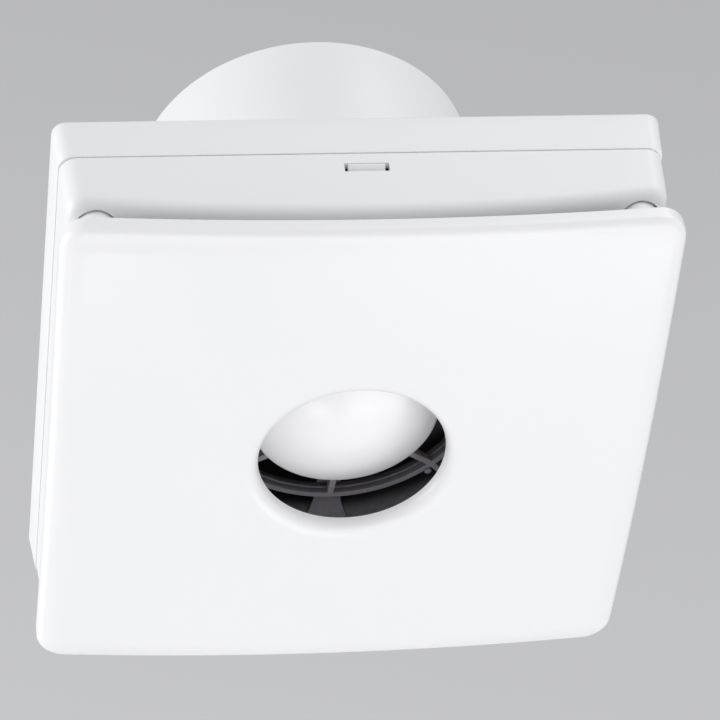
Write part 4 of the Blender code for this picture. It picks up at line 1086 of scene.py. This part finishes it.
def smooth_route(points, steps):
    """Points on a smooth curve through the given ones (Catmull-Rom)."""
    ends = [points[0] * 2 - points[1]] + points + [points[-1] * 2 - points[-2]]
    route = []
    for before, start, stop, after in zip(ends, ends[1:], ends[2:], ends[3:]):
        for step in range(steps):
            t = step / steps
            bend = (2 * before - 5 * start + 4 * stop - after) * t * t
            bend += (3 * start - before - 3 * stop + after) * t * t * t
            route.append(0.5 * (2 * start + (stop - before) * t + bend))
    return route + [points[-1]]


def make_live_lead():
    """The red lead, from its terminal through the hole in the flare to the winding.

    Its slack loop shows beside the guard.
    """
    route = smooth_route([Vector(point) * MM for point in LIVE_LEAD_ROUTE], 6)
    shape = bmesh.new()
    rows = []
    across = Vector((0, 1, 0))
    for number, place in enumerate(route):
        ahead = route[min(number + 1, len(route) - 1)] - route[max(number - 1, 0)]
        ahead.normalize()
        across = (across - ahead * across.dot(ahead)).normalized()
        beside = ahead.cross(across)
        row = []
        for step in range(LEAD_SIDES):
            angle = 2 * math.pi * step / LEAD_SIDES
            offset = across * math.cos(angle) + beside * math.sin(angle)
            row.append(shape.verts.new(place + offset * LEAD_RADIUS))
        rows.append(row)
    for first, second in zip(rows, rows[1:]):
        for step in range(LEAD_SIDES):
            after = (step + 1) % LEAD_SIDES
            shape.faces.new((first[step], first[after], second[after], second[step]))
    shape.faces.new(rows[0])
    shape.faces.new(list(reversed(rows[-1])))
    lead = finish_piece("live_wire", shape, "red_pvc")
    stands_for(lead, "lead_live", "housing")


def blade(number):
    """One twisted blade with rounded edges: steep at the hub and flat at the tip."""
    shape = bmesh.new()
    spans, chords = 14, 14
    sheets = []
    for side in (-0.5, 0.5):
        sheet = []
        for span in range(spans + 1):
            radius = BLADE_ROOT + (BLADE_TIP - BLADE_ROOT) * span / spans
            half_turn = BLADE_HALF_TURN * (1 - BLADE_NARROWING * span / spans)
            sweep = BLADE_SWEEP * span / spans
            row = []
            for chord in range(chords + 1):
                share = chord / chords
                angle = 2 * math.pi * number / BLADE_COUNT
                angle += sweep + half_turn * (2 * share - 1)
                y = BLADE_FRONT + (BLADE_BACK - BLADE_FRONT) * (1 - share)
                edge = min(1.0, 3.0 * math.sin(math.pi * share) + 0.35)
                y += BLADE_BOW * math.sin(math.pi * share) + side * BLADE_THICKNESS * edge
                row.append(shape.verts.new((radius * math.cos(angle), y, radius * math.sin(angle))))
            sheet.append(row)
        sheets.append(sheet)
    under, over = sheets
    for span in range(spans):
        for chord in range(chords):
            for sheet in sheets:
                shape.faces.new(
                    (
                        sheet[span][chord],
                        sheet[span + 1][chord],
                        sheet[span + 1][chord + 1],
                        sheet[span][chord + 1],
                    )
                )
    edge = [(span, 0) for span in range(spans)]
    edge += [(spans, chord) for chord in range(chords)]
    edge += [(spans - span, chords) for span in range(spans)]
    edge += [(0, chords - chord) for chord in range(chords)]
    for (span, chord), (next_span, next_chord) in zip(edge, edge[1:] + edge[:1]):
        near = (under[span][chord], under[next_span][next_chord])
        far = (over[next_span][next_chord], over[span][chord])
        shape.faces.new(near + far)
    return finish_piece("blade", shape)


def make_impeller():
    back = impeller_high.y
    inside = HUB_RADIUS - HUB_SKIN
    boss_front = HUB_FRONT + 3 * MM
    profile = [
        (HUB_BORE, back),
        (HUB_RADIUS, back, 3 * MM),
        (HUB_RADIUS, HUB_FRONT, 0.3 * MM),
        (inside, HUB_FRONT, 0.3 * MM),
        (inside, back - HUB_SKIN, 1 * MM),
        (HUB_BOSS, back - HUB_SKIN, 0.6 * MM),
        (HUB_BOSS, boss_front, 0.4 * MM),
        (HUB_BORE, boss_front),
    ]
    wheel = turned("axial_impeller", profile, "impeller_abs", steps=96)
    for number in range(BLADE_COUNT):
        join(wheel, [blade(number)])
    stands_for(wheel, "impeller", "rotor")


# ------------------------------------------- CAD pieces that stay as they are

REPLACED = {
    "front_panel",
    "front_cover",
    "latch_top",
    "latch_bottom",
    "rear_housing",
    "fan_frame",
    "inlet_guard",
    "dome_cap",
    "impeller",
    "lead_live",
}
SLOT_OF_NODE = {
    "impeller_clip": "plated_steel",
    "motor_shaft": "plated_steel",
    "rotor_core": "lamination_steel",
    "stator_core": "lamination_steel",
    "coil_bobbin": "bobbin_nylon",
    "coil_winding": "winding_copper",
    "front_bearing": "sintered_bronze",
    "rear_bearing": "sintered_bronze",
    "terminal_block": "terminal_nylon",
    "cable_clamp": "terminal_nylon",
    "cable_grommet": "grommet_rubber",
    "lead_neutral": "blue_pvc",
}
UNBEVELLED = {"lead_neutral", "motor_shaft", "cable_grommet"}


def dress_cad_nodes():
    """Materials and softened edges for the nodes that keep their CAD shape."""
    for name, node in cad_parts.items():
        if name in REPLACED:
            continue
        slot = SLOT_OF_NODE.get(name, "brass" if name.startswith("terminal_screw") else "plated_steel")
        node.data.materials.clear()
        node.data.materials.append(MATERIALS[slot])
        if name in UNBEVELLED:
            continue
        edges = node.modifiers.new("edges", "BEVEL")
        edges.width = 0.2 * MM
        edges.segments = 2
        edges.limit_method = "ANGLE"
        edges.angle_limit = math.radians(40)


# ----------------------------------------------------- floor, light, camera


def make_floor():
    made, tree, shader = new_material("studio_floor")
    clouds = noise(tree, 0.8, 2.0)
    colour = two_colours(tree, clouds, (0.604, 0.607, 0.612), (0.612, 0.615, 0.62))
    tree.links.new(colour, shader.inputs["Base Color"])
    shader.inputs["Roughness"].default_value = 0.9
    shape = bmesh.new()
    bmesh.ops.create_grid(shape, x_segments=1, y_segments=1, size=14.0)
    floor = finish_piece("studio_floor", shape, smooth=False)
    floor.data.materials.append(made)
    floor.location.z = cad_low.z - FLOOR_DROP


def area_light(name, direction, distance, size, power):
    """A square soft box that faces the origin from a direction."""
    data = bpy.data.lights.new(name, "AREA")
    data.size = size
    data.energy = power
    light = bpy.data.objects.new(name, data)
    place = Vector(direction).normalized()
    light.location = place * distance
    light.rotation_mode = "QUATERNION"
    light.rotation_quaternion = place.to_track_quat("Z", "Y")
    bpy.context.scene.collection.objects.link(light)


def make_lights():
    world = bpy.data.worlds.new("studio")
    world.use_nodes = True
    background = world.node_tree.nodes["Background"]
    background.inputs["Color"].default_value = (0.99, 0.99, 1.0, 1)
    background.inputs["Strength"].default_value = 0.563
    bpy.context.scene.world = world
    area_light("front", (0.0, -1.0, 0.2), 1.6, 1.2, 7.0)
    area_light("dome_glint", (-0.11, -0.86, -0.5), 1.6, 0.25, 0.6)
    area_light("low_right", (0.5, -0.9, -0.3), 1.7, 1.2, 8.8)
    area_light("left", (-1.0, 0.08, 0.0), 1.6, 1.0, 18.5)
    area_light("back_right", (0.6, 0.5, 0.8), 1.7, 1.2, 11.6)


def make_camera():
    data = bpy.data.cameras.new("camera")
    data.lens = CAMERA_LENS
    camera = bpy.data.objects.new("camera", data)
    forward = Vector(
        (
            math.sin(CAMERA_AZIMUTH) * math.cos(CAMERA_ELEVATION),
            math.cos(CAMERA_AZIMUTH) * math.cos(CAMERA_ELEVATION),
            -math.sin(CAMERA_ELEVATION),
        )
    )
    level = Vector((math.cos(CAMERA_AZIMUTH), -math.sin(CAMERA_AZIMUTH), 0))
    upright = level.cross(forward)
    right = level * math.cos(CAMERA_ROLL) + upright * math.sin(CAMERA_ROLL)
    up = right.cross(forward)
    place = CAMERA_AIM - forward * CAMERA_DISTANCE
    camera.matrix_world = Matrix(
        (
            (right.x, up.x, -forward.x, place.x),
            (right.y, up.y, -forward.y, place.y),
            (right.z, up.z, -forward.z, place.z),
            (0, 0, 0, 1),
        )
    )
    bpy.context.scene.collection.objects.link(camera)
    bpy.context.scene.camera = camera


make_front_panel()
make_front_cover()
make_latch("latch_top", "upper_latch", 1)
make_latch("latch_bottom", "lower_latch", -1)
make_rear_housing()
make_fan_frame()
make_inlet_guard()
make_dome_cap()
make_impeller()
make_live_lead()
dress_cad_nodes()
make_floor()
make_lights()
make_camera()
bpy.context.scene.view_settings.view_transform = "Standard"
